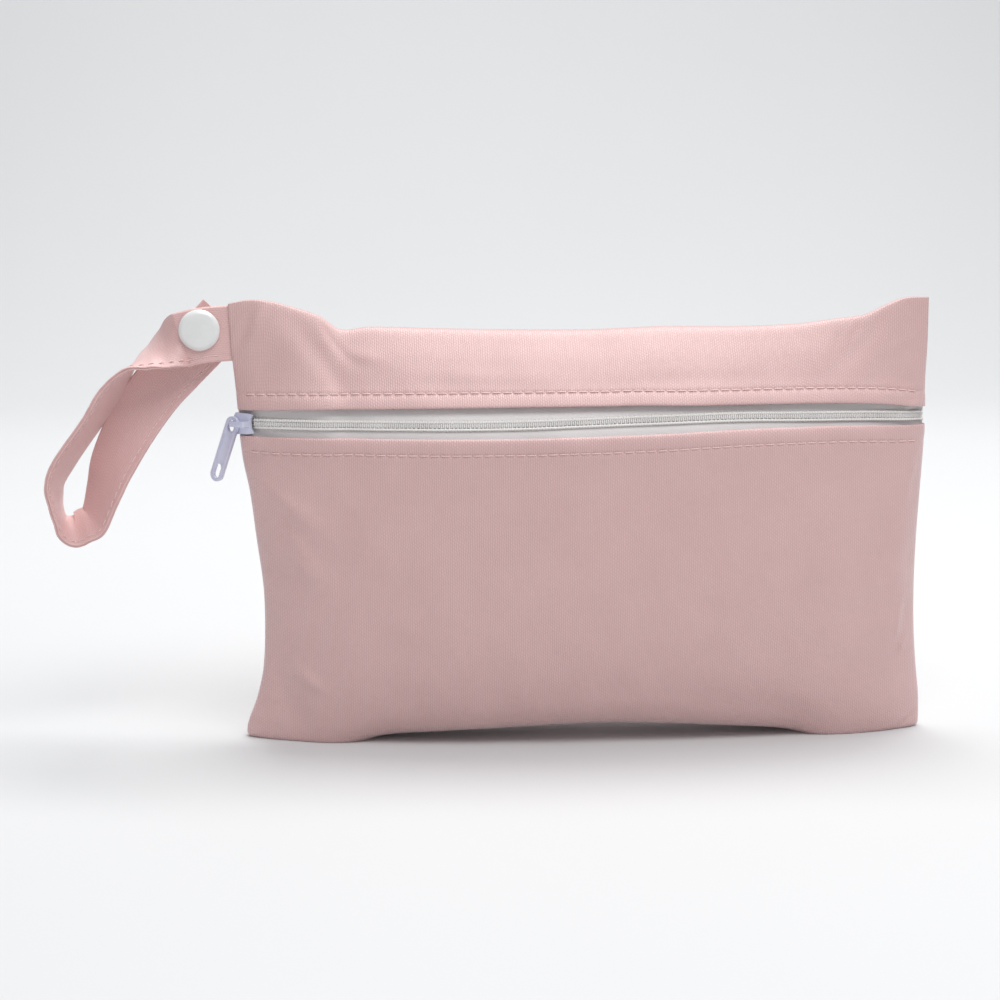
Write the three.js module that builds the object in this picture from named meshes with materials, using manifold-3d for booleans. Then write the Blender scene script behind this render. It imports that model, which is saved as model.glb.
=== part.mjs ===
// A small zip pouch for damp cloth goods, standing upright as if filled.
// One piece of laminated knit is folded over at the top and at the bottom and sewn at both sides,
// a coil zip runs across the front under two hems, and a wrist strap sewn into the left seam is
// looped back on itself and held by a plastic snap.
// Millimetres, +Z up, +X to the right as seen from the front, the front faces -Y.

import * as THREE from 'three';
import { mergeVertices } from 'three/addons/utils/BufferGeometryUtils.js';
import Module from 'manifold-3d';

const wasm = await Module();
wasm.setup();

// Pouch
const pouchWidth = 214;
const pouchHeight = 134.5;
const frontDepth = 24;
const backDepth = 21;
const clothThick = 1.0;
const sideSlit = 0.3;
const seamAllowance = 4;
const hemWidth = 4.9;
const hemRaise = 0.45;
const stitchSink = 0.3;

// Zip
const zipHeight = 98.7;
const zipGap = 5.2;
const tapeWidth = 11;
const tapeThick = 0.8;
const chainWidth = 3.5;
const chainRise = 0.9;
const zipSeat = 0.7;
const zipBulk = 2.2;
const zipBulkReach = 8;

// Slider and its tab
const sliderLength = 7.2;
const sliderWidth = 6.6;
const sliderPast = 0.9;
const plateThick = 0.9;
const channelPlay = 0.4;
const railWidth = 0.9;
const railLength = 4.3;
const railInset = 0.2;
const wedgeWidth = 1.6;
const wedgeLength = 2;
const bridgeWidth = 1.6;
const bridgeThick = 0.9;
const tabLength = 21.5;
const tabWidth = 4.4;
const tabThick = 1.2;
const tabRim = 0.8;
const tabDish = 0.25;
const tabLean = 23;
const tabSlotLength = 4.6;
const tabEyeSlack = 1.4;

// Strap and snap
const strapWidth = 16.8;
const strapThick = 1.3;
const strapReach = 53.3;
const strapDrop = 61;
const strapInset = 0.5;
const snapLift = 1.1;
const snapDiameter = 12.4;
const snapCapThick = 0.9;
const snapDome = 0.9;
const snapPin = 2.4;
const snapBase = 1.2;
const snapKnob = 1.3;
const snapSocketDiameter = 9.9;
const snapStudDiameter = 10.4;
const snapRingDiameter = 8.3;
const snapKnobDiameter = 5.2;

// Clearance between pieces that lie against each other
const fit = 0.3;

// How finely the sheets are divided
const columnCount = 36;
const strapSteps = 50;
const snapSides = 18;

const halfWidth = pouchWidth / 2;

// Sections across the pouch: across is the share of the half width, top and base are the heights
// of the two folded edges as shares of the pouch height. A base below zero is pressed flat.
const acrossTable = [
  { across: -1.0, top: 0.992, base: -0.014 },
  { across: -0.94, top: 1.0, base: -0.04 },
  { across: -0.88, top: 0.996, base: -0.046 },
  { across: -0.8, top: 0.979, base: -0.046 },
  { across: -0.74, top: 0.962, base: -0.037 },
  { across: -0.685, top: 0.933, base: -0.019 },
  { across: -0.6, top: 0.938, base: 0.002 },
  { across: -0.43, top: 0.934, base: 0.012 },
  { across: -0.2, top: 0.93, base: 0.02 },
  { across: 0.02, top: 0.929, base: 0.028 },
  { across: 0.24, top: 0.935, base: 0.024 },
  { across: 0.45, top: 0.934, base: 0.014 },
  { across: 0.62, top: 0.939, base: 0.0 },
  { across: 0.735, top: 0.95, base: -0.035 },
  { across: 0.82, top: 0.959, base: -0.046 },
  { across: 0.88, top: 0.981, base: -0.047 },
  { across: 0.935, top: 0.997, base: -0.045 },
  { across: 1.0, top: 0.998, base: -0.022 },
];

// Side seams: rise is the share of the height, left and right are shares of the half width
const sideTable = [
  { rise: 0.0, left: 0.95, right: 0.996 },
  { rise: 0.04, left: 0.952, right: 1.0 },
  { rise: 0.1, left: 0.925, right: 0.998 },
  { rise: 0.17, left: 0.905, right: 0.988 },
  { rise: 0.26, left: 0.898, right: 0.979 },
  { rise: 0.36, left: 0.9, right: 0.976 },
  { rise: 0.47, left: 0.917, right: 0.979 },
  { rise: 0.58, left: 0.934, right: 0.986 },
  { rise: 0.66, left: 0.953, right: 0.991 },
  { rise: 0.8, left: 0.967, right: 0.991 },
  { rise: 0.9, left: 0.979, right: 0.995 },
  { rise: 1.0, left: 0.986, right: 0.995 },
];

// Section from front to back: depth shares of the front and back halves at each height share
const profileTable = [
  { rise: 0.0, front: 0.0, back: 0.0 },
  { rise: 0.02, front: 0.5, back: 0.5 },
  { rise: 0.06, front: 0.71, back: 0.71 },
  { rise: 0.15, front: 0.87, back: 0.85 },
  { rise: 0.3, front: 0.97, back: 0.95 },
  { rise: 0.45, front: 1.0, back: 1.0 },
  { rise: 0.6, front: 0.985, back: 0.97 },
  { rise: 0.72, front: 0.94, back: 0.89 },
  { rise: 0.79, front: 0.86, back: 0.8 },
  { rise: 0.86, front: 0.66, back: 0.67 },
  { rise: 0.93, front: 0.42, back: 0.46 },
  { rise: 0.975, front: 0.21, back: 0.25 },
  { rise: 1.0, front: 0.0, back: 0.0 },
];

// How fast the filling swells in from the side seams, by height
const swellTable = [
  { rise: 0.0, power: 0.72 },
  { rise: 0.4, power: 0.58 },
  { rise: 0.78, power: 0.72 },
  { rise: 1.0, power: 1.0 },
];
const swellCurve = 2.2;

// The zip's middle line and the two flap edges, by section: height is a share of the zip height,
// upper and lower are shares of the zip gap on each side of the middle line
const zipTable = [
  { across: -1.0, height: 0.991, upper: 0.74, lower: 0.73 },
  { across: -0.85, height: 0.996, upper: 0.82, lower: 0.74 },
  { across: -0.5, height: 1.001, upper: 1.0, lower: 0.78 },
  { across: -0.25, height: 1.003, upper: 1.08, lower: 0.8 },
  { across: 0.1, height: 1.014, upper: 0.92, lower: 0.88 },
  { across: 0.4, height: 1.021, upper: 0.7, lower: 0.8 },
  { across: 0.65, height: 1.016, upper: 0.74, lower: 0.62 },
  { across: 0.85, height: 1.008, upper: 0.66, lower: 0.56 },
  { across: 1.0, height: 0.997, upper: 0.5, lower: 0.52 },
];

// Folds and dents: across and rise place the middle, long and broad are shares of the pouch
// height, turn is the fold's angle above the level in degrees, swell is a share of the depth
const foldTable = [
  { face: 'front', across: -0.86, rise: 0.56, long: 0.07, broad: 0.028, turn: -26, swell: 0.06 },
  { face: 'front', across: -0.87, rise: 0.45, long: 0.06, broad: 0.026, turn: -38, swell: 0.05 },
  { face: 'front', across: -0.76, rise: 0.93, long: 0.09, broad: 0.03, turn: -48, swell: -0.08 },
  { face: 'front', across: -0.9, rise: 0.13, long: 0.07, broad: 0.03, turn: -52, swell: -0.07 },
  { face: 'front', across: -0.9, rise: 0.86, long: 0.06, broad: 0.03, turn: 50, swell: -0.05 },
  { face: 'front', across: 0.93, rise: 0.4, long: 0.22, broad: 0.03, turn: 88, swell: 0.05 },
  { face: 'front', across: 0.93, rise: 0.22, long: 0.07, broad: 0.026, turn: 55, swell: -0.05 },
  { face: 'front', across: 0.78, rise: 0.94, long: 0.07, broad: 0.03, turn: 40, swell: -0.06 },
  { face: 'front', across: -0.1, rise: 0.04, long: 0.5, broad: 0.05, turn: 2, swell: 0.04 },
  { face: 'front', across: 0.55, rise: 0.07, long: 0.2, broad: 0.04, turn: -6, swell: -0.04 },
  { face: 'back', across: -0.84, rise: 0.3, long: 0.12, broad: 0.035, turn: 35, swell: -0.06 },
  { face: 'back', across: -0.8, rise: 0.72, long: 0.14, broad: 0.035, turn: -30, swell: -0.06 },
  { face: 'back', across: 0.85, rise: 0.34, long: 0.12, broad: 0.035, turn: -35, swell: -0.06 },
  { face: 'back', across: 0.82, rise: 0.76, long: 0.14, broad: 0.035, turn: 32, swell: -0.06 },
  { face: 'back', across: 0.1, rise: 0.86, long: 0.5, broad: 0.05, turn: 3, swell: -0.04 },
];

// The strap's middle line from the seam round the loop to its free end: out is a share of the
// reach, drop of the drop and back of the snap stack. leanX and leanZ turn the strap's width.
const strapTable = [
  { out: 0.0, drop: 0.0, back: 0.0, leanX: 0.0, leanZ: 1.0 },
  { out: 0.14, drop: 0.01, back: 0.0, leanX: 0.0, leanZ: 1.0 },
  { out: 0.265, drop: 0.035, back: 0.01, leanX: 0.0, leanZ: 0.995 },
  { out: 0.36, drop: 0.08, back: 0.12, leanX: 0.06, leanZ: 0.7 },
  { out: 0.44, drop: 0.115, back: 0.16, leanX: 0.13, leanZ: 0.4 },
  { out: 0.545, drop: 0.165, back: 0.2, leanX: 0.24, leanZ: 0.14 },
  { out: 0.655, drop: 0.285, back: 0.2, leanX: 0.43, leanZ: 0.02 },
  { out: 0.765, drop: 0.43, back: 0.2, leanX: 0.38, leanZ: 0.0 },
  { out: 0.935, drop: 0.64, back: 0.22, leanX: 0.33, leanZ: -0.08 },
  { out: 0.99, drop: 0.745, back: 0.25, leanX: 0.22, leanZ: -0.08 },
  { out: 0.992, drop: 0.83, back: 0.32, leanX: 0.11, leanZ: 0.02 },
  { out: 0.982, drop: 0.9, back: 0.34, leanX: 0.02, leanZ: 0.14 },
  { out: 0.955, drop: 0.955, back: 0.35, leanX: -0.09, leanZ: 0.32 },
  { out: 0.895, drop: 0.98, back: 0.37, leanX: -0.18, leanZ: 0.44 },
  { out: 0.835, drop: 0.96, back: 0.42, leanX: -0.28, leanZ: 0.44 },
  { out: 0.775, drop: 0.925, back: 0.52, leanX: -0.4, leanZ: 0.38 },
  { out: 0.72, drop: 0.785, back: 0.7, leanX: -0.62, leanZ: 0.26 },
  { out: 0.665, drop: 0.645, back: 0.82, leanX: -0.78, leanZ: 0.3 },
  { out: 0.56, drop: 0.47, back: 0.9, leanX: -0.82, leanZ: 0.45 },
  { out: 0.425, drop: 0.3, back: 0.97, leanX: -0.78, leanZ: 0.6 },
  { out: 0.29, drop: 0.175, back: 1.0, leanX: -0.76, leanZ: 0.65 },
  { out: 0.155, drop: 0.055, back: 1.0, leanX: -0.76, leanZ: 0.65 },
  { out: 0.025, drop: -0.065, back: 1.0, leanX: -0.76, leanZ: 0.65 },
];
const snapOut = 0.158;

// A smooth curve through one column of a table
function lookUp(table, key, column, at) {
  const last = table.length - 1;
  const value = THREE.MathUtils.clamp(at, table[0][key], table[last][key]);
  let i = 0;
  while (i < last - 1 && value > table[i + 1][key]) {
    i += 1;
  }
  const slopeAt = (k) => {
    const a = table[Math.max(k - 1, 0)];
    const b = table[Math.min(k + 1, last)];
    return (b[column] - a[column]) / (b[key] - a[key]);
  };
  const span = table[i + 1][key] - table[i][key];
  const t = (value - table[i][key]) / span;
  const t2 = t * t;
  const t3 = t2 * t;
  return (2 * t3 - 3 * t2 + 1) * table[i][column] + (t3 - 2 * t2 + t) * span * slopeAt(i)
    + (3 * t2 - 2 * t3) * table[i + 1][column] + (t3 - t2) * span * slopeAt(i + 1);
}

// The section profile is read against an angle, so that both folded edges come out round
const roundProfile = profileTable.map((row) => ({
  turn: Math.acos(1 - 2 * row.rise),
  front: row.front,
  back: row.back,
}));

function sideX(across, rise) {
  const side = across < 0 ? 'left' : 'right';
  return across * halfWidth * lookUp(sideTable, 'rise', side, rise);
}

function topZ(across) {
  return pouchHeight * lookUp(acrossTable, 'across', 'top', across);
}

function baseZ(across) {
  return pouchHeight * lookUp(acrossTable, 'across', 'base', across);
}

function foldSwell(face, across, rise) {
  let sum = 0;
  for (const fold of foldTable.filter((row) => row.face === face)) {
    const dx = (across - fold.across) * halfWidth / pouchHeight;
    const dz = rise - fold.rise;
    const angle = THREE.MathUtils.degToRad(fold.turn);
    const u = (dx * Math.cos(angle) + dz * Math.sin(angle)) / fold.long;
    const v = (dz * Math.cos(angle) - dx * Math.sin(angle)) / fold.broad;
    sum += fold.swell * Math.exp(-u * u - v * v);
  }
  return sum;
}

// Half of the slit between the two walls at the side seams, which hold the zip's ends between them
function halfSlit(rise) {
  const away = (rise - zipHeight / pouchHeight) * pouchHeight / zipBulkReach;
  return (sideSlit + zipBulk * Math.exp(-away * away)) / 2;
}

// Distance from the seam plane to the cloth's outer face. Folds fade out at the side seams.
const foldFade = 3;

function halfDepth(face, across, rise) {
  const depth = face === 'front' ? frontDepth : backDepth;
  const shape = lookUp(roundProfile, 'turn', face, Math.acos(1 - 2 * rise));
  const power = lookUp(swellTable, 'rise', 'power', rise);
  const swell = Math.max(1 - Math.abs(across) ** swellCurve, 0) ** power;
  const fade = Math.min(swell * foldFade, 1);
  const filled = depth * shape * (swell + foldSwell(face, across, rise) * fade);
  return halfSlit(rise) + clothThick + Math.max(filled, 0);
}

// A wall that slopes back from the front is cut at a slant, so it measures more along Y
const steepest = 1.5;

function slant(face, across, rise) {
  const step = 0.01;
  const outer = halfDepth(face, THREE.MathUtils.clamp(across + step, -1, 1), rise);
  const inner = halfDepth(face, THREE.MathUtils.clamp(across - step, -1, 1), rise);
  const slope = (outer - inner) / (2 * step * halfWidth);
  return Math.min(Math.sqrt(1 + slope * slope), steepest);
}

// A point of the cloth, a given depth in from its outer face. Pressed on the floor, it lies flat.
function clothPoint(face, across, rise, into, raise) {
  const thinnest = halfSlit(rise) + clothThick - into;
  const out = halfDepth(face, across, rise) + raise - into * slant(face, across, rise);
  const y = Math.max(out, thinnest);
  const turnedUp = (1 - 2 * rise) ** 3;
  const z = THREE.MathUtils.lerp(baseZ(across), topZ(across), rise) + into * turnedUp;
  return new THREE.Vector3(sideX(across, rise), face === 'front' ? -y : y, Math.max(z, into));
}

// Height shares up and down the front from the zip's middle, one for each step along the cloth
const ladderStep = 0.2;
const ladders = new Map();

function ladderAt(across, direction) {
  const key = `${across} ${direction}`;
  if (!ladders.has(key)) {
    const low = baseZ(across);
    const tall = topZ(across) - low;
    const middle = zipHeight * lookUp(zipTable, 'across', 'height', across);
    const rises = [(middle - low) / tall];
    const longest = 2 * (zipGap + hemWidth + tapeWidth);
    for (let gone = 0; gone < longest; gone += ladderStep) {
      const rise = rises[rises.length - 1];
      const next = rise + direction * ladderStep / tall;
      const change = halfDepth('front', across, next) - halfDepth('front', across, rise);
      const scale = ladderStep / Math.hypot(ladderStep, change);
      rises.push(rise + direction * scale * ladderStep / tall);
    }
    ladders.set(key, rises);
  }
  return ladders.get(key);
}

// Height share of the point that lies a given distance along the front from the zip's middle
function riseFromZip(across, distance) {
  const rises = ladderAt(across, distance < 0 ? -1 : 1);
  const place = Math.abs(distance) / ladderStep;
  const i = Math.floor(place);
  return THREE.MathUtils.lerp(rises[i], rises[i + 1], place - i);
}

// The rows of a hem, as distances in from the flap's edge, how far it stands proud, its thickness
const hemRows = [
  { from: 0, raise: -0.5, layers: 1.5 },
  { from: 0.14, raise: 0.8, layers: 2 },
  { from: 0.5, raise: 1, layers: 2 },
  { from: 0.86, raise: 0.8, layers: 2 },
  { from: 1, raise: -stitchSink / hemRaise, layers: 2 },
  { from: 1.22, raise: 0, layers: 1 },
];

// A flap's edge, as its distance from the zip's middle. The flaps clear the chain all along and
// part round the slider.
const sliderAcross = -(1 - (sliderLength / 2 - sliderPast) / halfWidth);

function flapEdge(across, flap) {
  const lying = zipGap * lookUp(zipTable, 'across', flap, across);
  const past = Math.max(Math.abs(across - sliderAcross) * halfWidth - sliderLength, 0) / sliderLength;
  const round = (sliderWidth / 2 + 1.5 * fit) * Math.exp(-past * past);
  return Math.max(lying, round, chainWidth / 2 + 2 * fit);
}

// One section of the cloth, from the lower flap's edge under the bottom, up the back, over the
// top and down to the upper flap's edge
const lowerRows = 10;
const backRows = 14;
const upperRows = 5;

function angleOf(rise) {
  return Math.acos(1 - 2 * rise);
}

function riseOf(angle) {
  return (1 - Math.cos(angle)) / 2;
}

function clothSection(across) {
  const rows = [];
  for (const hem of hemRows) {
    const distance = -(flapEdge(across, 'lower') + hem.from * hemWidth);
    rows.push({ face: 'front', rise: riseFromZip(across, distance), ...hem });
  }
  const low = angleOf(rows[rows.length - 1].rise);
  for (let i = 1; i < lowerRows; i += 1) {
    rows.push({ face: 'front', rise: riseOf(low * (1 - i / lowerRows)), raise: 0, layers: 1 });
  }
  for (let i = 0; i <= backRows; i += 1) {
    rows.push({ face: 'back', rise: riseOf(Math.PI * i / backRows), raise: 0, layers: 1 });
  }
  const upper = hemRows.map((hem) => {
    const distance = flapEdge(across, 'upper') + hem.from * hemWidth;
    return { face: 'front', rise: riseFromZip(across, distance), ...hem };
  });
  const high = angleOf(upper[upper.length - 1].rise);
  for (let i = 1; i < upperRows; i += 1) {
    const angle = Math.PI + (high - Math.PI) * i / upperRows;
    rows.push({ face: 'front', rise: riseOf(angle), raise: 0, layers: 1 });
  }
  rows.push(...upper.reverse());
  return rows;
}

// Columns crowd towards the side seams, where the cloth bends most
const crowding = 0.55;
const columns = [];
for (let i = 0; i <= columnCount; i += 1) {
  const t = 2 * i / columnCount - 1;
  columns.push(THREE.MathUtils.lerp(t, (3 * t - t * t * t) / 2, crowding));
}

// A closed body between two grids of points, the outer face and the inner face of a sheet
function sheetSolid(outer, inner) {
  const rows = outer.length;
  const cols = outer[0].length;
  const points = [...outer.flat(), ...inner.flat()];
  const back = rows * cols;
  const at = (i, j) => i * cols + j;
  const faces = [];
  const quad = (a, b, c, d) => faces.push(a, b, c, a, c, d);
  for (let i = 0; i + 1 < rows; i += 1) {
    for (let j = 0; j + 1 < cols; j += 1) {
      quad(at(i, j), at(i + 1, j), at(i + 1, j + 1), at(i, j + 1));
      quad(back + at(i, j), back + at(i, j + 1), back + at(i + 1, j + 1), back + at(i + 1, j));
    }
    quad(at(i, 0), back + at(i, 0), back + at(i + 1, 0), at(i + 1, 0));
    quad(at(i, cols - 1), at(i + 1, cols - 1), back + at(i + 1, cols - 1), back + at(i, cols - 1));
  }
  for (let j = 0; j + 1 < cols; j += 1) {
    const end = rows - 1;
    quad(at(0, j), at(0, j + 1), back + at(0, j + 1), back + at(0, j));
    quad(at(end, j), back + at(end, j), back + at(end, j + 1), at(end, j + 1));
  }
  return solidFrom(points, faces);
}

function solidFrom(points, faces) {
  let volume = 0;
  for (let k = 0; k < faces.length; k += 3) {
    const cross = new THREE.Vector3().crossVectors(points[faces[k + 1]], points[faces[k + 2]]);
    volume += points[faces[k]].dot(cross);
  }
  const turned = faces.slice();
  if (volume < 0) {
    for (let k = 0; k < turned.length; k += 3) {
      [turned[k + 1], turned[k + 2]] = [turned[k + 2], turned[k + 1]];
    }
  }
  const geometry = new THREE.BufferGeometry();
  geometry.setAttribute('position', new THREE.Float32BufferAttribute(
    points.flatMap((point) => [point.x, point.y, point.z]), 3));
  geometry.setIndex(turned);
  return geometry;
}

// Joins and cuts of closed bodies
function toManifold(geometry) {
  const bare = geometry.clone();
  bare.deleteAttribute('normal');
  bare.deleteAttribute('uv');
  const merged = mergeVertices(bare, 1e-4);
  return new wasm.Manifold(new wasm.Mesh({
    numProp: 3,
    vertProperties: new Float32Array(merged.attributes.position.array),
    triVerts: new Uint32Array(merged.index.array),
  }));
}

function fromManifold(body) {
  const mesh = body.getMesh();
  const geometry = new THREE.BufferGeometry();
  geometry.setAttribute('position', new THREE.BufferAttribute(mesh.vertProperties, 3));
  geometry.setIndex(new THREE.BufferAttribute(mesh.triVerts, 1));
  return geometry;
}

function join(...geometries) {
  const bodies = geometries.map(toManifold);
  return fromManifold(bodies.reduce((sum, body) => sum.add(body)));
}

function cut(geometry, ...tools) {
  return fromManifold(tools.reduce((sum, tool) => sum.subtract(toManifold(tool)), toManifold(geometry)));
}

// The cloth shell with its two sewn side seams
function clothShell() {
  const outer = [];
  const inner = [];
  for (const across of columns) {
    const rows = clothSection(across);
    outer.push(rows.map((row) => clothPoint(row.face, across, row.rise, 0, row.raise * hemRaise)));
    inner.push(rows.map((row) => clothPoint(row.face, across, row.rise, clothThick * row.layers, 0)));
  }
  return sheetSolid(outer, inner);
}

// The seam allowance that joins front and back along one side, above or below the zip
function seamStrip(side, flap) {
  const middle = clothThick / 2;
  const edge = fit / halfWidth;
  const front = [];
  const back = [];
  const steps = 12;
  for (const share of [edge, seamAllowance / halfWidth / 2, seamAllowance / halfWidth]) {
    const across = side * (1 - share);
    const direction = flap === 'upper' ? 1 : -1;
    const start = riseFromZip(across, direction * (flapEdge(across, flap) + clothThick));
    const end = flap === 'upper' ? 1 : 0;
    const rises = [];
    for (let i = 0; i <= steps; i += 1) {
      rises.push(riseOf(THREE.MathUtils.lerp(angleOf(start), angleOf(end), i / steps)));
    }
    front.push(rises.map((rise) => clothPoint('front', across, rise, middle, 0)));
    back.push(rises.map((rise) => clothPoint('back', across, rise, middle, 0)));
  }
  return sheetSolid(front, back);
}

const zipColumns = [sliderAcross, ...columns.filter((across) => across > sliderAcross && across < 1),
  1 - fit / halfWidth];
const tapeColumns = zipColumns.filter((across) => across < 1 - seamAllowance / halfWidth);
const seated = zipSeat + tapeThick;
const slantedFit = 1.4 * fit;

// A point of the zip: its tapes lie a clearance inside the doubled hems, and in the thin ends of
// the pouch they lie on the back cloth instead
function zipPoint(across, distance, out) {
  const point = clothPoint('front', across, riseFromZip(across, distance), 2 * clothThick, -slantedFit);
  return new THREE.Vector3(point.x, Math.min(point.y, -seated) - out, point.z);
}

// How far a tape reaches under its hem: not at all where the pouch is too thin for it
function tapeSpread(across, flap) {
  const outward = Math.sign(across) * Math.min(Math.abs(across) + seamAllowance / halfWidth, 1);
  const inSeam = Math.abs(outward) > 1 - seamAllowance / halfWidth;
  const distance = (flap === 'upper' ? 1 : -1) * tapeWidth;
  const rise = riseFromZip(outward, distance);
  const room = -clothPoint('front', outward, rise, 2 * clothThick, -slantedFit).y - seated;
  return inSeam ? 0 : THREE.MathUtils.clamp(room / tapeThick, 0, 1);
}

function tape(flap) {
  const direction = flap === 'upper' ? 1 : -1;
  const outer = [];
  const inner = [];
  for (const across of tapeColumns) {
    const near = chainWidth / 2 + fit;
    const open = Math.max(flapEdge(across, flap) - fit, near + fit);
    const far = THREE.MathUtils.lerp(open, tapeWidth, tapeSpread(across, flap));
    const distances = [0, 0.3, 0.65, 1].map((share) => THREE.MathUtils.lerp(near, far, share));
    outer.push(distances.map((distance) => zipPoint(across, direction * distance, 0)));
    inner.push(distances.map((distance) => zipPoint(across, direction * distance, -tapeThick)));
  }
  return sheetSolid(outer, inner);
}

function chain() {
  const outer = [];
  const inner = [];
  for (const across of zipColumns) {
    const half = chainWidth / 2;
    const shape = [{ at: -1, rise: 0.35 }, { at: -0.55, rise: 1 }, { at: 0, rise: 0.75 },
      { at: 0.55, rise: 1 }, { at: 1, rise: 0.35 }];
    outer.push(shape.map((row) => zipPoint(across, row.at * half, row.rise * chainRise)));
    inner.push(shape.map((row) => zipPoint(across, row.at * half, -tapeThick)));
  }
  return sheetSolid(outer, inner);
}

function material(colour, roughness, metalness) {
  return new THREE.MeshStandardMaterial({ color: colour, roughness, metalness });
}

const knit = material(0xd9b4b2, 0.75, 0);
const strapKnit = material(0xcfa5a3, 0.75, 0);
const tapeWeave = material(0xd2c4c0, 0.8, 0);
const coilPlastic = material(0xeceae4, 0.45, 0);
const lilacMetal = material(0xc9cbe0, 0.35, 0.2);
const capPlastic = material(0xf1f1f0, 0.2, 0);

const pouch = new THREE.Group();

function place(name, geometry, look, parent = pouch) {
  const mesh = new THREE.Mesh(geometry, look);
  mesh.name = name;
  parent.add(mesh);
  return mesh;
}

const strips = [-1, 1].flatMap((side) => ['upper', 'lower'].map((flap) => seamStrip(side, flap)));
place('outer_cloth', join(clothShell(), ...strips), knit);
place('zip_tape_upper', tape('upper'), tapeWeave);
place('zip_tape_lower', tape('lower'), tapeWeave);
place('zip_chain', chain(), coilPlastic);

// A plate outline pushed out along Z between two levels
function block(corners, low, high) {
  const shape = new THREE.Shape(corners.map(([x, y]) => new THREE.Vector2(x, y)));
  const geometry = new THREE.ExtrudeGeometry(shape, { depth: high - low, bevelEnabled: false });
  return geometry.translate(0, 0, low);
}

// The slider stands on the closed chain at the left end. Its own X runs along the zip towards the
// open mouth, its Z out of the pouch.
const chainHalf = (chainRise + tapeThick) / 2;
const channelHalf = chainHalf + channelPlay;
const plateTop = channelHalf + plateThick;
const tabLevel = plateTop + fit;
const barLevel = tabLevel + tabThick + fit;
const pivotX = -sliderLength / 2 + bridgeThick / 2;
const bridgeEnd = sliderLength / 4;

// A plate's outline from the nose to the notched mouth, as shares of its half length and half width
const plateTable = [
  { along: -1.0, wide: 0.55 },
  { along: -0.75, wide: 1.0 },
  { along: 0.55, wide: 0.94 },
  { along: 1.0, wide: 0.86 },
  { along: 0.74, wide: 0.42 },
];

function sliderPlate(low, high) {
  const below = plateTable.map((row) => [row.along * sliderLength / 2, -row.wide * sliderWidth / 2]);
  const above = below.map(([x, y]) => [x, -y]).reverse();
  return block([...below, ...above], low, high);
}

function sliderRail(side) {
  const inner = sliderWidth / 2 - railWidth;
  const outer = sliderWidth / 2 - railInset;
  const x = railLength / 2;
  const corners = [[-x, side * inner], [x, side * inner], [x, side * outer], [-x, side * outer]];
  const low = fit + chainHalf - chainRise;
  return block(side > 0 ? corners : corners.reverse(), low, channelHalf + plateThick / 2);
}

function sliderWedge() {
  const start = -sliderLength / 2 + fit;
  const corners = [[start, 0], [start + wedgeLength / 2, -wedgeWidth / 2],
    [start + wedgeLength, 0], [start + wedgeLength / 2, wedgeWidth / 2]];
  return block(corners, -channelHalf - plateThick / 2, channelHalf + plateThick / 2);
}

// The bridge is drawn from the side and pushed out across the slider
function sliderBridge() {
  const left = pivotX - bridgeThick / 2;
  const right = bridgeEnd + bridgeThick / 2;
  const foot = plateTop - plateThick / 2;
  const top = barLevel + bridgeThick;
  const round = bridgeThick / 2;
  const corners = [[left, foot], [left + bridgeThick, foot], [left + bridgeThick, barLevel],
    [right - bridgeThick, barLevel], [right - bridgeThick, foot], [right, foot],
    [right, top - round], [right - round, top], [left + round, top], [left, top - round]];
  const geometry = block(corners, -bridgeWidth / 2, bridgeWidth / 2);
  return geometry.rotateX(Math.PI / 2);
}

function sliderBody() {
  return join(sliderPlate(channelHalf, plateTop), sliderPlate(-plateTop, -channelHalf),
    sliderRail(1), sliderRail(-1), sliderWedge(), sliderBridge());
}

// A slot shape: two half circles about two centres on the Y axis
function slotPath(Shape, radius, high, low) {
  const path = new Shape();
  path.absarc(0, high, radius, 0, Math.PI, false);
  path.absarc(0, low, radius, Math.PI, 2 * Math.PI, false);
  path.closePath();
  return path;
}

function pullTab() {
  const round = tabWidth / 2;
  const legRadius = Math.hypot(bridgeThick, bridgeWidth) / 2 + fit;
  const end = -(tabLength - tabWidth);
  const slotRadius = round - tabRim - fit;
  const outline = slotPath(THREE.Shape, round, 0, end);
  outline.holes.push(slotPath(THREE.Path, slotRadius, end + tabSlotLength - 2 * slotRadius, end));
  outline.holes.push(slotPath(THREE.Path, legRadius, 0, -tabEyeSlack));
  const options = { depth: tabThick, bevelEnabled: false, curveSegments: 9 };
  const plate = new THREE.ExtrudeGeometry(outline, options);
  const dishTop = -legRadius - tabEyeSlack - round;
  const dishShape = slotPath(THREE.Shape, round - tabRim, dishTop, end + tabSlotLength);
  const dish = new THREE.ExtrudeGeometry(dishShape, options);
  dish.translate(0, 0, tabThick - tabDish);
  return cut(plate, dish);
}

function chainMiddle(across) {
  return zipPoint(across, 0, chainRise - chainHalf);
}

const reach = sliderLength / 2 / halfWidth;
const along = chainMiddle(sliderAcross + reach).sub(chainMiddle(sliderAcross)).normalize();
const above = zipPoint(sliderAcross, sliderWidth / 2, 0);
const below = zipPoint(sliderAcross, -sliderWidth / 2, 0);
const upward = above.clone().sub(below);
const outward = new THREE.Vector3().crossVectors(along, upward).normalize();
const crosswise = new THREE.Vector3().crossVectors(outward, along);
const sliderGroup = new THREE.Group();
sliderGroup.position.copy(chainMiddle(sliderAcross));
sliderGroup.setRotationFromMatrix(new THREE.Matrix4().makeBasis(along, crosswise, outward));
pouch.add(sliderGroup);
place('slider_body', sliderBody(), lilacMetal, sliderGroup);

// The tab hangs on the bridge's left leg and turns about it
const tabGroup = new THREE.Group();
tabGroup.position.set(pivotX, 0, tabLevel);
tabGroup.rotation.z = -THREE.MathUtils.degToRad(tabLean);
sliderGroup.add(tabGroup);
place('pull_tab', pullTab(), lilacMetal, tabGroup);

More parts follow.
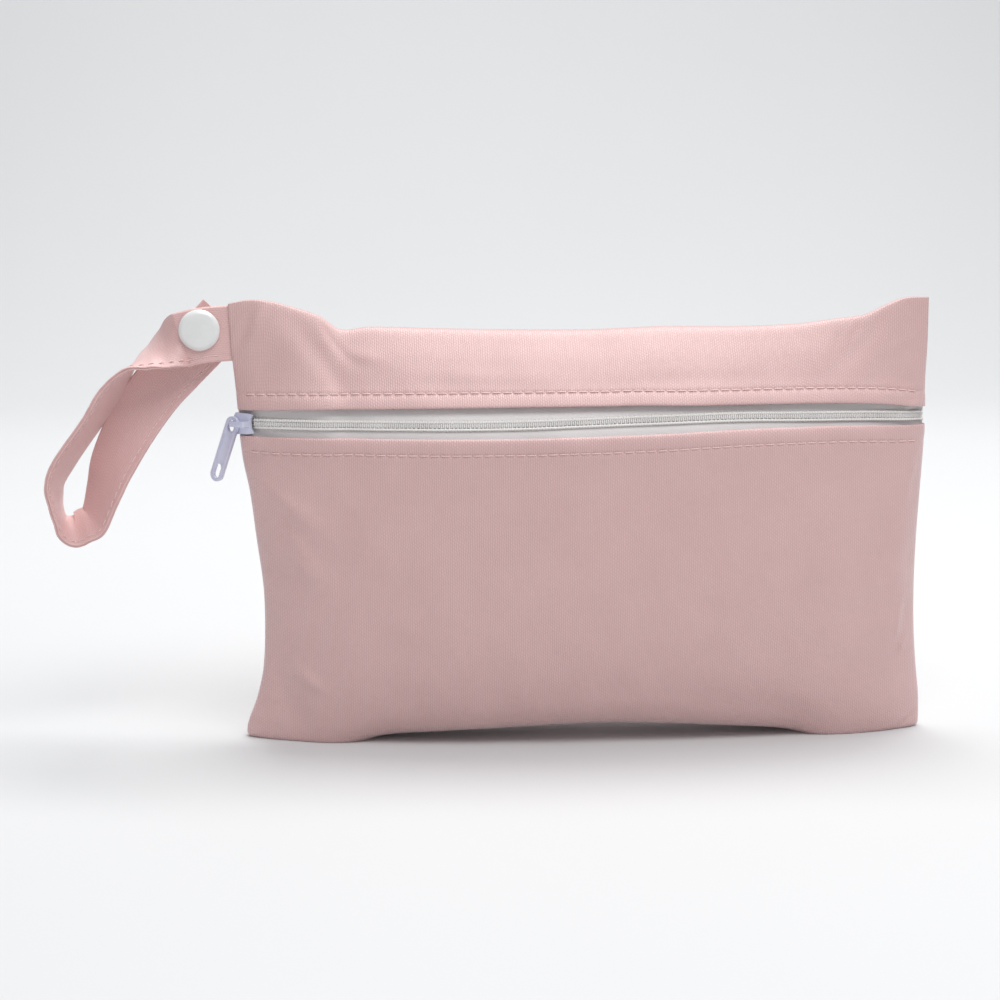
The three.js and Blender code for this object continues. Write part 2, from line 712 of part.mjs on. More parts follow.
// The snap from front to back: cap, strap, socket, stud, strap, cap
const snapStack = strapThick + 3 * fit + 2 * snapBase + snapKnob;
const strapRows = strapTable.map((row, at) => ({ ...row, at }));
const anchorZ = topZ(-1) - strapInset - strapWidth / 2;
const anchorRises = [0, 0.5, 1].map((share) => (anchorZ + (share - 0.5) * strapWidth) / topZ(-1));
const anchorX = Math.min(...anchorRises.map((rise) => sideX(-1, rise))) - fit;

function strapMiddle(at) {
  const column = (name) => lookUp(strapRows, 'at', name, at);
  return new THREE.Vector3(anchorX - column('out') * strapReach, column('back') * snapStack,
    anchorZ - column('drop') * strapDrop);
}

function strap() {
  const shape = [{ at: -1, thick: 0.6 }, { at: -0.88, thick: 1 }, { at: 0, thick: 1 },
    { at: 0.88, thick: 1 }, { at: 1, thick: 0.6 }];
  const last = strapRows.length - 1;
  const outer = [];
  const inner = [];
  for (let i = 0; i <= strapSteps; i += 1) {
    const at = last * i / strapSteps;
    const middle = strapMiddle(at);
    const ahead = strapMiddle(Math.min(at + 0.1, last));
    const behind = strapMiddle(Math.max(at - 0.1, 0));
    const run = ahead.clone().sub(behind).normalize();
    const leanX = lookUp(strapRows, 'at', 'leanX', at);
    const leanZ = lookUp(strapRows, 'at', 'leanZ', at);
    const width = new THREE.Vector3(leanX, Math.sqrt(Math.max(1 - leanX ** 2 - leanZ ** 2, 0)), leanZ);
    width.addScaledVector(run, i === 0 ? 0 : -width.dot(run)).normalize();
    const normal = new THREE.Vector3().crossVectors(width, run).normalize();
    const pointAt = (row, side) => middle.clone().addScaledVector(width, row.at * strapWidth / 2)
      .addScaledVector(normal, side * row.thick * strapThick / 2);
    outer.push(shape.map((row) => pointAt(row, 1)));
    inner.push(shape.map((row) => pointAt(row, -1)));
  }
  return sheetSolid(outer, inner);
}

const snapX = anchorX - snapOut * strapReach;
const snapZ = anchorZ + snapLift;
const pinHole = snapPin / 2 + fit;

function turned(profile) {
  return new THREE.LatheGeometry(profile.map(([r, y]) => new THREE.Vector2(r, y)), snapSides);
}

function snapCap(pinLength) {
  const edge = snapDiameter / 2;
  const dome = [[edge * 0.8, 0.62], [edge * 0.55, 0.86], [edge * 0.28, 0.97]];
  const profile = [[0, -pinLength], [snapPin / 2, -pinLength], [snapPin / 2, 0], [edge * 0.94, 0],
    [edge, snapCapThick * 0.35], [edge * 0.97, snapCapThick * 0.8],
    ...dome.map(([r, share]) => [r, snapCapThick + snapDome * share]), [0, snapCapThick + snapDome]];
  return turned(profile);
}

function snapSocket() {
  const disc = snapSocketDiameter / 2;
  const ring = snapRingDiameter / 2;
  const bowl = snapKnobDiameter / 2 + fit;
  return turned([[pinHole, 0], [disc, 0], [disc, snapBase], [ring, snapBase],
    [ring, snapBase + snapKnob], [bowl, snapBase + snapKnob], [bowl, snapBase],
    [pinHole, snapBase], [pinHole, 0]]);
}

function snapStud() {
  const disc = snapStudDiameter / 2;
  const knob = snapKnobDiameter / 2;
  return turned([[pinHole, 0], [knob, 0], [knob, snapKnob], [disc, snapKnob],
    [disc, snapKnob + snapBase], [pinHole, snapKnob + snapBase], [pinHole, 0]]);
}

function holeTool() {
  const length = 2 * snapStack;
  const rod = new THREE.CylinderGeometry(pinHole, pinHole, length, snapSides);
  return rod.translate(snapX, snapStack / 2, snapZ);
}

place('wrist_strap', cut(strap(), holeTool()), strapKnit);

const face = strapThick / 2 + fit;
const pinLength = strapThick + 2 * fit + snapBase * 0.7;
const frontCap = place('snap_cap_front', snapCap(pinLength), capPlastic);
frontCap.position.set(snapX, -face, snapZ);
frontCap.rotation.x = Math.PI;
const socket = place('snap_socket', snapSocket(), capPlastic);
socket.position.set(snapX, face, snapZ);
const stud = place('snap_stud', snapStud(), capPlastic);
stud.position.set(snapX, face + snapBase + fit, snapZ);
const backCap = place('snap_cap_back', snapCap(pinLength), capPlastic);
backCap.position.set(snapX, snapStack + face, snapZ);

// The origin is under the middle of the whole thing, on the floor
const box = new THREE.Box3().setFromObject(pouch);
const centre = box.getCenter(new THREE.Vector3());
pouch.position.set(-centre.x, -centre.y, -box.min.z);
pouch.updateMatrixWorld(true);

export default pouch;
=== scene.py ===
# %% [markdown]
# # A small zip pouch of laminated knit, with a wrist strap
#
# The pouch stands filled on a white table. Its solids come from the CAD part, and every piece here
# dresses one of them, so the work starts by loading that frame.

# %% Load the frame
import math
import bpy
import numpy as np
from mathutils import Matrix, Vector


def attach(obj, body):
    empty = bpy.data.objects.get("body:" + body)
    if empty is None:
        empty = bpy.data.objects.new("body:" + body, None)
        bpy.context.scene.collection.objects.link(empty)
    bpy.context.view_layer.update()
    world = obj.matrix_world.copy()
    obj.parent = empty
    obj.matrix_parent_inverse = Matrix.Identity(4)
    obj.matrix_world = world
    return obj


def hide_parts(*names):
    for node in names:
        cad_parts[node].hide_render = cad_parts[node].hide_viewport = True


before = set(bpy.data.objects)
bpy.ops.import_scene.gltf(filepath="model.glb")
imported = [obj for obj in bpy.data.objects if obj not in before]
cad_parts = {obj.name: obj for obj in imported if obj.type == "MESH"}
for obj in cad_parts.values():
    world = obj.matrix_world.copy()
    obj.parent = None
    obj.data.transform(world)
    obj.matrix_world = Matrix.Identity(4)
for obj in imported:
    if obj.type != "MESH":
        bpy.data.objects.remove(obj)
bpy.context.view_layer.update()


# %% [markdown]
# ## Camera
#
# The pouch is seen from a little above and from a little to its left, from so far away that its
# sides stay almost parallel. A long lens gives that look, where a wide lens close by would make
# the sides lean. The camera is placed and then turned so that it looks at a point near the middle
# of the zip.

# %% Camera
MM = 0.001
AIM = Vector((2.96, 1.52, 72.9)) * MM
DISTANCE = 750 * MM
FRAME_WIDTH = 305.4 * MM
TURN, RISE = math.radians(3.5), math.radians(10.0)

looking = Vector((math.sin(TURN) * math.cos(RISE), math.cos(TURN) * math.cos(RISE), -math.sin(RISE)))
camera = bpy.data.objects.new("camera", bpy.data.cameras.new("camera"))
camera.data.sensor_width = 36.0
camera.data.lens = 36.0 * DISTANCE / FRAME_WIDTH
camera.data.clip_start, camera.data.clip_end = 0.01, 20.0
camera.location = AIM - looking * DISTANCE
camera.rotation_mode = "QUATERNION"
camera.rotation_quaternion = looking.to_track_quat("-Z", "Y")
bpy.context.scene.collection.objects.link(camera)
bpy.context.scene.camera = camera
print("camera at", [round(value, 4) for value in camera.location], "lens", round(camera.data.lens, 1))

# %% [markdown]
# ## Table and light
#
# The pouch stands on a sheet of white card that curves up behind it, so no edge shows. A wide soft
# lamp hangs above, which makes the top of the pouch bright and leaves the front a tone darker. A
# weaker one in front keeps the front from going grey. A modelled room could fill the shadows, but
# one even surround does it too and is easier to steer.

# %% Sweep of white card
def mesh_piece(name, points, faces):
    """A new object from points in metres"""
    mesh = bpy.data.meshes.new(name)
    mesh.from_pydata([tuple(point) for point in np.asarray(points, float).tolist()], [], faces)
    mesh.update()
    mesh.polygons.foreach_set("use_smooth", [True] * len(mesh.polygons))
    piece = bpy.data.objects.new(name, mesh)
    bpy.context.scene.collection.objects.link(piece)
    return piece


def grid_faces(rows, columns):
    """Quads over a grid of points, row by row"""
    i, j = np.meshgrid(np.arange(rows - 1), np.arange(columns - 1), indexing="ij")
    first = i * columns + j
    quads = np.stack([first, first + columns, first + columns + 1, first + 1], -1)
    return quads.reshape(-1, 4).tolist()


def sweep_points():
    flat, bend, wall = 0.75, 0.55, 1.6
    profile = [(-1.6, 0.0), (flat, 0.0)]
    profile += [(flat + bend * math.sin(a), bend * (1 - math.cos(a)))
                for a in np.linspace(0.1, math.pi / 2, 16)]
    profile += [(flat + bend, bend + wall)]
    return [(x, y, z) for y, z in profile for x in (-2.6, 2.6)], len(profile)


card_points, card_rows = sweep_points()
card = mesh_piece("white_card", card_points, grid_faces(card_rows, 2))
print("card sweep with", card_rows, "rows")

# %% Lamps and surroundings
def soft_lamp(name, place, aim, size, power, colour=(1, 1, 1)):
    lamp = bpy.data.lights.new(name, "AREA")
    lamp.shape = "RECTANGLE"
    lamp.size, lamp.size_y = size
    lamp.energy = power
    lamp.color = colour
    holder = bpy.data.objects.new(name, lamp)
    holder.location = place
    holder.rotation_mode = "QUATERNION"
    holder.rotation_quaternion = (Vector(aim) - Vector(place)).to_track_quat("-Z", "Y")
    bpy.context.scene.collection.objects.link(holder)
    return holder


soft_lamp("lamp_above", (0.12, 0.32, 1.15), (0.03, 0.0, 0.0), (0.8, 0.6), 11.0, (1.0, 0.995, 0.985))
soft_lamp("lamp_key", (0.22, -0.54, 0.98), (0.02, 0.0, 0.08), (0.8, 0.5), 5.8, (1.0, 0.995, 0.99))

surroundings = bpy.data.worlds.new("pale_room")
surroundings.use_nodes = True
room = surroundings.node_tree.nodes["Background"]
room.inputs["Color"].default_value = (0.93, 0.96, 1.0, 1)
room.inputs["Strength"].default_value = 0.43
bpy.context.scene.world = surroundings
bpy.context.scene.view_settings.view_transform = "Standard"
print("lamps and room ready")

# %% [markdown]
# ## Curves through tables
#
# The cloth has no simple formula, so its form is written down as short tables: the height of the
# top and bottom folds at a few places across, the line of each side seam, the section from front
# to back. A smooth curve through each column gives the form everywhere in between. The cloth is
# then laid out as a grid of points, which is how a pattern cutter thinks of it: columns across
# the pouch, rows along the cloth.

# %% Tables
def table(names, *rows):
    return dict(zip(names.split(), np.array(rows, float).T))


def look_up(rows, key, column, at):
    """Smooth curve through one column of a table"""
    x, y = rows[key], rows[column]
    slope = np.empty_like(y)
    slope[1:-1] = (y[2:] - y[:-2]) / (x[2:] - x[:-2])
    slope[0], slope[-1] = (y[1] - y[0]) / (x[1] - x[0]), (y[-1] - y[-2]) / (x[-1] - x[-2])
    value = np.clip(at, x[0], x[-1])
    i = np.clip(np.searchsorted(x, value, side="left") - 1, 0, len(x) - 2)
    span = x[i + 1] - x[i]
    t = (value - x[i]) / span
    t2, t3 = t ** 2, t ** 3
    return ((2 * t3 - 3 * t2 + 1) * y[i] + (t3 - 2 * t2 + t) * span * slope[i]
            + (3 * t2 - 2 * t3) * y[i + 1] + (t3 - t2) * span * slope[i + 1])


ACROSS = table(
    "across top base",
    (-1.0, 0.992, -0.014), (-0.94, 1.0, -0.04), (-0.88, 0.996, -0.046), (-0.8, 0.979, -0.046),
    (-0.74, 0.962, -0.037), (-0.685, 0.933, -0.019), (-0.6, 0.938, 0.002), (-0.43, 0.934, 0.012),
    (-0.2, 0.93, 0.02), (0.02, 0.929, 0.028), (0.24, 0.935, 0.024), (0.45, 0.934, 0.014),
    (0.62, 0.939, 0.0), (0.735, 0.95, -0.035), (0.82, 0.959, -0.046), (0.88, 0.981, -0.047),
    (0.935, 0.997, -0.045), (1.0, 0.998, -0.022))
SIDES = table(
    "rise left right",
    (0.0, 0.95, 0.996), (0.04, 0.952, 1.0), (0.1, 0.925, 0.998), (0.17, 0.905, 0.988),
    (0.26, 0.898, 0.979), (0.36, 0.9, 0.976), (0.47, 0.917, 0.979), (0.58, 0.934, 0.986),
    (0.66, 0.953, 0.991), (0.8, 0.967, 0.991), (0.9, 0.979, 0.995), (1.0, 0.986, 0.995))
PROFILE = table(
    "rise front back",
    (0.0, 0.0, 0.0), (0.02, 0.5, 0.5), (0.06, 0.71, 0.71), (0.15, 0.87, 0.85), (0.3, 0.97, 0.95),
    (0.45, 1.0, 1.0), (0.6, 0.985, 0.97), (0.72, 0.94, 0.89), (0.79, 0.86, 0.8), (0.86, 0.66, 0.67),
    (0.93, 0.42, 0.46), (0.975, 0.21, 0.25), (1.0, 0.0, 0.0))
PROFILE["turn"] = np.arccos(1 - 2 * PROFILE["rise"])
SWELL = table("rise power", (0.0, 0.72), (0.4, 0.58), (0.78, 0.72), (1.0, 1.0))
ZIP = table(
    "across height upper lower",
    (-1.0, 0.991, 0.74, 0.73), (-0.85, 0.996, 0.82, 0.74), (-0.5, 1.001, 1.0, 0.78),
    (-0.25, 1.003, 1.08, 0.8), (0.1, 1.014, 0.92, 0.88), (0.4, 1.021, 0.7, 0.8),
    (0.65, 1.016, 0.74, 0.62), (0.85, 1.008, 0.66, 0.56), (1.0, 0.997, 0.5, 0.52))
print("tables with", len(ACROSS["top"]), "places across and", len(PROFILE["rise"]), "in the section")

# %% [markdown]
# ## Folds
#
# A filled pouch is never smooth. Each larger fold or dent is one row: where it lies, how long and
# broad it is, how it is turned, and how much it swells. Sculpting by hand would also work, but a
# row of numbers can be changed by itself. Short puckers start at the side seams, where the seam
# is tighter than the cloth. They are spread with a fixed seed, so every run gives the same cloth.

# %% Folds and puckers
FRONT_FOLDS = np.array([
    (-0.86, 0.56, 0.07, 0.028, -26, 0.06), (-0.87, 0.45, 0.06, 0.026, -38, 0.05),
    (-0.76, 0.93, 0.09, 0.03, -48, -0.08), (-0.9, 0.13, 0.07, 0.03, -52, -0.07),
    (-0.9, 0.86, 0.06, 0.03, 50, -0.05), (0.93, 0.4, 0.22, 0.03, 88, 0.05),
    (0.93, 0.22, 0.07, 0.026, 55, -0.05), (0.78, 0.94, 0.07, 0.03, 40, -0.06),
    (-0.1, 0.04, 0.5, 0.05, 2, 0.04), (0.55, 0.07, 0.2, 0.04, -6, -0.04)])
BACK_FOLDS = np.array([
    (-0.84, 0.3, 0.12, 0.035, 35, -0.06), (-0.8, 0.72, 0.14, 0.035, -30, -0.06),
    (0.85, 0.34, 0.12, 0.035, -35, -0.06), (0.82, 0.76, 0.14, 0.035, 32, -0.06),
    (0.1, 0.86, 0.5, 0.05, 3, -0.04)])
FINE_FOLDS = np.array([
    (-0.90, 0.575, 0.045, 0.010, -30, 0.037), (-0.88, 0.50, 0.05, 0.010, -42, 0.037),
    (-0.93, 0.42, 0.035, 0.009, -20, -0.034), (-0.93, 0.34, 0.03, 0.009, 12, -0.027),
    (-0.86, 0.19, 0.04, 0.012, -28, 0.06), (-0.955, 0.945, 0.05, 0.013, 62, -0.17),
    (-0.925, 0.95, 0.05, 0.012, 58, 0.13), (-0.70, 0.965, 0.06, 0.012, -40, -0.051),
    (-0.62, 0.94, 0.05, 0.014, -16, 0.034), (0.955, 0.235, 0.03, 0.008, 60, 0.041),
    (0.94, 0.30, 0.04, 0.009, 80, 0.031), (0.74, 0.965, 0.035, 0.010, 68, -0.034),
    (0.79, 0.975, 0.03, 0.009, 52, -0.034), (0.96, 0.62, 0.06, 0.010, 78, 0.024),
    (0.30, 0.885, 0.16, 0.016, 2, -0.017), (-0.30, 0.90, 0.18, 0.018, -2, 0.017)])


def seam_puckers(seed, count=26):
    dice = np.random.default_rng(seed)
    rows = []
    for side in (-1, 1):
        for rise in np.linspace(0.05, 0.95, count) + dice.uniform(-0.012, 0.012, count):
            rows.append((side * dice.uniform(0.955, 0.985), rise, dice.uniform(0.018, 0.045),
                         dice.uniform(0.006, 0.010), side * dice.uniform(-28, 28),
                         dice.uniform(-0.038, 0.038)))
    return np.array(rows)


FOLDS = {"front": np.vstack([FRONT_FOLDS, FINE_FOLDS, seam_puckers(3)]),
         "back": np.vstack([BACK_FOLDS, seam_puckers(8)])}
print("folds on the front", len(FOLDS["front"]), "and on the back", len(FOLDS["back"]))

# %% [markdown]
# ## The cloth's form
#
# The real pouch gets its form from what is put into it. Here every point of the cloth is worked out
# from two numbers: how far across the pouch it lies, from -1 at the left seam to 1 at the right,
# and how high, from 0 at the bottom fold to 1 at the top. A cloth simulation would also give a
# filled bag, but with a formula each fold stays where the real one has it.

# %% Sides, folds and slow waves
WIDTH, HEIGHT = 214.0, 134.5
HALF = WIDTH / 2
DEPTH = {"front": 24.0, "back": 21.0}
CLOTH, CORNER = 1.0, 1.5
SLIT, BULK, BULK_REACH = 0.3, 2.2, 8.0
ZIP_HEIGHT, ZIP_GAP, HEM = 98.7, 5.2, 4.9
MIDDLE = np.array([26.96, 1.501, 0.0])


def side_x(across, rise):
    return across * HALF * np.where(across < 0, look_up(SIDES, "rise", "left", rise),
                                    look_up(SIDES, "rise", "right", rise))


def fold_swell(face, across, rise):
    total = np.zeros(np.broadcast(across, rise).shape)
    for place, height, long, broad, turn, swell in FOLDS[face]:
        dx, dz = (across - place) * HALF / HEIGHT, rise - height
        c, s = math.cos(math.radians(turn)), math.sin(math.radians(turn))
        u, v = (dx * c + dz * s) / long, (dz * c - dx * s) / broad
        total += swell * np.exp(-u * u - v * v)
    return total


WAVE_LENGTHS, WAVE_DEPTH = (62, 41, 33, 24, 17, 13), 0.16
WAVE_SEED = {"front": 5, "back": 6}


def drift(across, rise, seed):
    """Slow waves of hand-filled cloth, with lengths in millimetres"""
    dice = np.random.default_rng(seed)
    total = 0
    for length in WAVE_LENGTHS:
        way, phase = dice.uniform(0, math.tau), dice.uniform(0, math.tau)
        run = across * HALF * math.cos(way) + rise * HEIGHT * math.sin(way)
        total = total + length / WAVE_LENGTHS[0] * np.sin(math.tau * run / length + phase)
    return total


print("slowest wave", WAVE_LENGTHS[0], "mm, quickest", WAVE_LENGTHS[-1], "mm")

# %% Depth and points of the cloth
def half_slit(rise):
    away = (rise - ZIP_HEIGHT / HEIGHT) * HEIGHT / BULK_REACH
    return (SLIT + BULK * np.exp(-away ** 2)) / 2


def half_depth(face, across, rise):
    rise = np.clip(rise, 0, 1)
    shape = look_up(PROFILE, "turn", face, np.arccos(1 - 2 * rise))
    swell = np.maximum(1 - np.abs(across) ** 2.2, 0) ** look_up(SWELL, "rise", "power", rise)
    fade = np.minimum(swell * 4, 1)
    filled = DEPTH[face] * shape * (swell + fold_swell(face, across, rise) * fade)
    waves = WAVE_DEPTH * drift(across, rise, WAVE_SEED[face]) * fade * np.minimum(shape * 2, 1)
    return half_slit(rise) + CLOTH + np.maximum(filled + waves, 0)


def cloth_point(face, across, rise, raised=0.0):
    """Points on the cloth, in millimetres from the middle of the pouch; raised stands off its face"""
    low, top = (HEIGHT * look_up(ACROSS, "across", name, across) for name in ("base", "top"))
    y = half_depth(face, across, rise) + raised
    z = np.maximum(low + (top - low) * rise, 0)
    below = CORNER - np.minimum(z, CORNER)
    x = side_x(across, rise) * (1 - (CORNER - np.sqrt(CORNER ** 2 - below ** 2)) / HALF)
    return np.stack(np.broadcast_arrays(x, -y if face == "front" else y, z), -1)


print("deepest point", round(float(half_depth("front", np.array(0.0), np.array(0.45))), 1), "mm")

# %% [markdown]
# ## Where the zip lies
#
# The zip is sewn between two folded hems. Their distances are measured along the cloth, as with a
# tape measure, and not straight up, because the cloth slopes there. A ladder of small equal
# steps climbs the front from the zip's middle line, and every row of a hem or tape is then found
# by its distance from that line.

# %% Distances from the zip
LADDER_STEP, LADDER_REACH = 0.4, 20.0
ladders = {}


def ladder(across, direction):
    key = (across.tobytes(), direction)
    if key not in ladders:
        low, top = (HEIGHT * look_up(ACROSS, "across", name, across) for name in ("base", "top"))
        share = direction * LADDER_STEP / (top - low)
        rises = [(ZIP_HEIGHT * look_up(ZIP, "across", "height", across) - low) / (top - low)]
        depths = [half_depth("front", across, rises[0])]
        for _ in range(int(LADDER_REACH / LADDER_STEP)):
            change = half_depth("front", across, rises[-1] + share) - depths[-1]
            rises.append(rises[-1] + share * LADDER_STEP / np.hypot(LADDER_STEP, change))
            depths.append(half_depth("front", across, rises[-1]))
        ladders[key] = np.array(rises)
    return ladders[key]


def rise_from_zip(across, distance):
    """Height share at a distance along the front from the zip's middle; one column for each across"""
    distance = np.broadcast_to(distance, (np.shape(distance)[0], len(across)))
    result = np.empty(distance.shape)
    for direction in (-1, 1):
        rises = ladder(across, direction)
        steps = np.arange(len(rises)) * LADDER_STEP
        side = distance > 0 if direction > 0 else distance <= 0
        for j in np.flatnonzero(side.any(0)):
            here = side[:, j]
            result[here, j] = np.interp(np.abs(distance[here, j]), steps, rises[:, j])
    return result


SLIDER_LONG, SLIDER_WIDE, CHAIN_WIDE = 7.2, 6.6, 3.5
SLIDER_ACROSS = -(1 - (SLIDER_LONG / 2 - 0.9) / HALF)


def flap_edge(across, flap):
    lying = ZIP_GAP * look_up(ZIP, "across", flap, across)
    past = np.maximum(np.abs(across - SLIDER_ACROSS) * HALF - SLIDER_LONG, 0) / SLIDER_LONG
    parted = (SLIDER_WIDE / 2 + 0.45) * np.exp(-past ** 2)
    return np.maximum(np.maximum(lying, parted), CHAIN_WIDE / 2 + 0.6)


print("gap between the hems at the middle",
      round(float(flap_edge(np.array(0.0), "upper") + flap_edge(np.array(0.0), "lower")), 1), "mm")

# %% [markdown]
# ## Building blocks for materials
#
# A finish is a small network of shader nodes. Placed one by one with their links, they take many
# lines, so the helper below lays nodes on one board and links them by name. An effect that
# several finishes share becomes a node group, built once.

# %% Node board
class Board:
    """Places nodes in one tree and links them by name"""

    def __init__(self, tree):
        self.tree = tree

    def add(self, kind, links=None, **settings):
        node = self.tree.nodes.new(kind)
        for name, value in settings.items():
            setattr(node, name, value)
        for socket, value in (links or {}).items():
            self.put(value, node.inputs[socket])
        return node

    def put(self, value, socket):
        if isinstance(value, bpy.types.NodeSocket):
            self.tree.links.new(value, socket)
        else:
            socket.default_value = value

    def math(self, operation, *values):
        node = self.add("ShaderNodeMath", operation=operation)
        for i, value in enumerate(values):
            self.put(value, node.inputs[i])
        return node.outputs[0]

    def mix(self, share, first, second):
        """A colour between two colours"""
        node = self.add("ShaderNodeMix", data_type="RGBA")
        self.put(share, node.inputs["Factor"])
        self.put(first, node.inputs["A"])
        self.put(second, node.inputs["B"])
        return node.outputs["Result"]

    def span(self, value, low, high, to_low, to_high):
        node = self.add("ShaderNodeMapRange")
        for socket, given in zip(("Value", "From Min", "From Max", "To Min", "To Max"),
                                 (value, low, high, to_low, to_high)):
            self.put(given, node.inputs[socket])
        return node.outputs["Result"]


print("node board ready")

# %% New node group
def new_group(name, inputs, outputs):
    """An empty node group with named sockets"""
    tree = bpy.data.node_groups.new(name, "ShaderNodeTree")
    for label, kind, value in inputs:
        socket = tree.interface.new_socket(label, in_out="INPUT", socket_type=kind)
        if value is not None:
            socket.default_value = value
    for label, kind in outputs:
        tree.interface.new_socket(label, in_out="OUTPUT", socket_type=kind)
    board = Board(tree)
    return tree, board, board.add("NodeGroupInput").outputs, board.add("NodeGroupOutput").inputs


FLOAT, VECTOR = "NodeSocketFloat", "NodeSocketVector"
print("groups have sockets of kind", FLOAT, "and", VECTOR)

# %% [markdown]
# ## Knit and weave
#
# The pouch is cut from a warp knit with a thin film on its inside. Its face has fine upright ribs
# of loops, about 0.66 mm apart, and the loops of each rib sit half a step above those of the
# next. A picture of cloth would blur close up and repeat, so the pattern is worked out from the
# cloth's own coordinates in millimetres and follows every fold. Zip tape is woven instead: short
# slanting floats that turn from stripe to stripe.

# %% Group: ribbed knit
knit_group, board, given, out = new_group(
    "ribbed_knit",
    [("Cloth", VECTOR, None), ("Rib", FLOAT, 0.7), ("Course", FLOAT, 0.7)],
    [("Height", FLOAT), ("Groove_Shade", FLOAT)])
parts = board.add("ShaderNodeSeparateXYZ", {"Vector": given["Cloth"]}).outputs
sway = board.add("ShaderNodeTexNoise", {"Vector": given["Cloth"], "Scale": 0.35, "Detail": 1.0})
shift = board.span(sway.outputs["Fac"], 0.0, 1.0, -0.35, 0.35)
u = board.math("DIVIDE", board.math("ADD", parts["X"], shift), given["Rib"])
v = board.math("DIVIDE", parts["Y"], given["Course"])
wave_u, wave_v = (board.math("SINE", board.math("MULTIPLY", way, math.pi)) for way in (u, v))
rib = board.math("ABSOLUTE", wave_u)
stagger = board.math("MULTIPLY", wave_u, wave_v)
loops = board.span(stagger, -1.0, 1.0, 0.0, 1.0)
face = board.math("ADD", board.math("MULTIPLY", rib, 0.6), board.math("MULTIPLY", loops, 0.4))
board.put(face, out["Height"])
# The second output marks the grooves between the ribs, where the finish paints shade.
board.put(board.math("SUBTRACT", 1.0, face), out["Groove_Shade"])
print("group", knit_group.name)

# %% Group: zip tape weave
PICK = 0.35
weave_group, board, given, out = new_group(
    "tape_weave",
    [("Cloth", VECTOR, None), ("Float", FLOAT, 0.45), ("Stripe", FLOAT, 1.6)],
    [("Height", FLOAT), ("Groove_Shade", FLOAT)])
parts = board.add("ShaderNodeSeparateXYZ", {"Vector": given["Cloth"]}).outputs
stripes = board.math("DIVIDE", parts["Y"], given["Stripe"])
zigzag = board.math("MULTIPLY", board.math("PINGPONG", stripes, 1.0), 1.8)
run = board.math("ADD", board.math("DIVIDE", parts["X"], given["Float"]), zigzag)
floats = board.span(board.math("SINE", board.math("MULTIPLY", run, math.tau)), -1.0, 1.0, 0.0, 1.0)
picks = board.math("ABSOLUTE", board.math("SINE", board.math("MULTIPLY", parts["Y"], math.pi / PICK)))
board.put(board.math("ADD", board.math("MULTIPLY", floats, 0.6), board.math("MULTIPLY", picks, 0.4)),
          out["Height"])
# The second output marks the hollows between the floats, where the finish paints shade.
board.put(board.math("SUBTRACT", 1.0, board.math("MULTIPLY", floats, picks)), out["Groove_Shade"])
print("group", weave_group.name)

# %% [markdown]
# ## Mottle and handling
#
# No dyed cloth and no moulded piece is one even tone. A slow mottle shifts the dye a little from
# place to place, and fine marks from handling change how glossy paint and plastic are. Painted by
# hand they would be done anew for each piece. As groups they are placed again with other values.

# %% Group: slow mottle
mottle_group, board, given, out = new_group(
    "slow_mottle", [("Patch", FLOAT, 12.0), ("Fine", FLOAT, 0.4)], [("Tone", FLOAT), ("Fibre", FLOAT)])
place = board.add("ShaderNodeTexCoord").outputs["Object"]
wide = board.add("ShaderNodeTexNoise", {"Vector": place, "Detail": 3.0, "Roughness": 0.55,
                                        "Scale": board.math("DIVIDE", 1000.0, given["Patch"])})
small = board.add("ShaderNodeTexNoise", {"Vector": place, "Detail": 2.0,
                                         "Scale": board.math("DIVIDE", 1000.0, given["Fine"])})
board.put(board.span(wide.outputs["Fac"], 0.3, 0.7, 0.0, 1.0), out["Tone"])
board.put(small.outputs["Fac"], out["Fibre"])
print("group", mottle_group.name)

# %% Group: handling marks
marks_group, board, given, out = new_group(
    "handling_marks",
    [("Amount", FLOAT, 0.5), ("Base", FLOAT, 0.3)],
    [("Roughness", FLOAT), ("Height", FLOAT)])
place = board.add("ShaderNodeTexCoord").outputs["Object"]
stretched = board.add("ShaderNodeMapping", {"Vector": place, "Scale": (900.0, 260.0, 420.0),
                                            "Rotation": (0.4, 0.7, 0.5)}).outputs["Vector"]
scratches = board.add("ShaderNodeTexNoise",
                      {"Vector": stretched, "Scale": 1.0, "Detail": 4.0}).outputs["Fac"]
smears = board.add("ShaderNodeTexNoise", {"Vector": place, "Scale": 220.0, "Detail": 2.0}).outputs["Fac"]
worn = board.math("ADD", board.span(scratches, 0.5, 0.75, 0.0, 0.7),
                  board.span(smears, 0.4, 0.7, 0.0, 0.3))
board.put(board.math("ADD", given["Base"], board.math("MULTIPLY", worn, given["Amount"])),
          out["Roughness"])
board.put(scratches, out["Height"])
print("group", marks_group.name)

# %% [markdown]
# ## Cloth finishes
#
# Both pink cloths are the same kind of knit, so one maker serves both, and the tape as well. The
# dye is a dusty rose. The grooves between the ribs, and between the floats of the tape, are given
# a deeper colour as painted shade, so the loops stay lighter. The cloth has the soft sheen of
# polyester at grazing angles. The zip tape is pale and woven.

# %% Cloth material maker
def new_material(name):
    material = bpy.data.materials.new(name)
    material.use_nodes = True
    board = Board(material.node_tree)
    return material, board, material.node_tree.nodes["Principled BSDF"]


def use_group(board, tree, **links):
    node = board.add("ShaderNodeGroup", node_tree=tree)
    for name, value in links.items():
        board.put(value, node.inputs[name.replace("_", " ")])
    return node.outputs


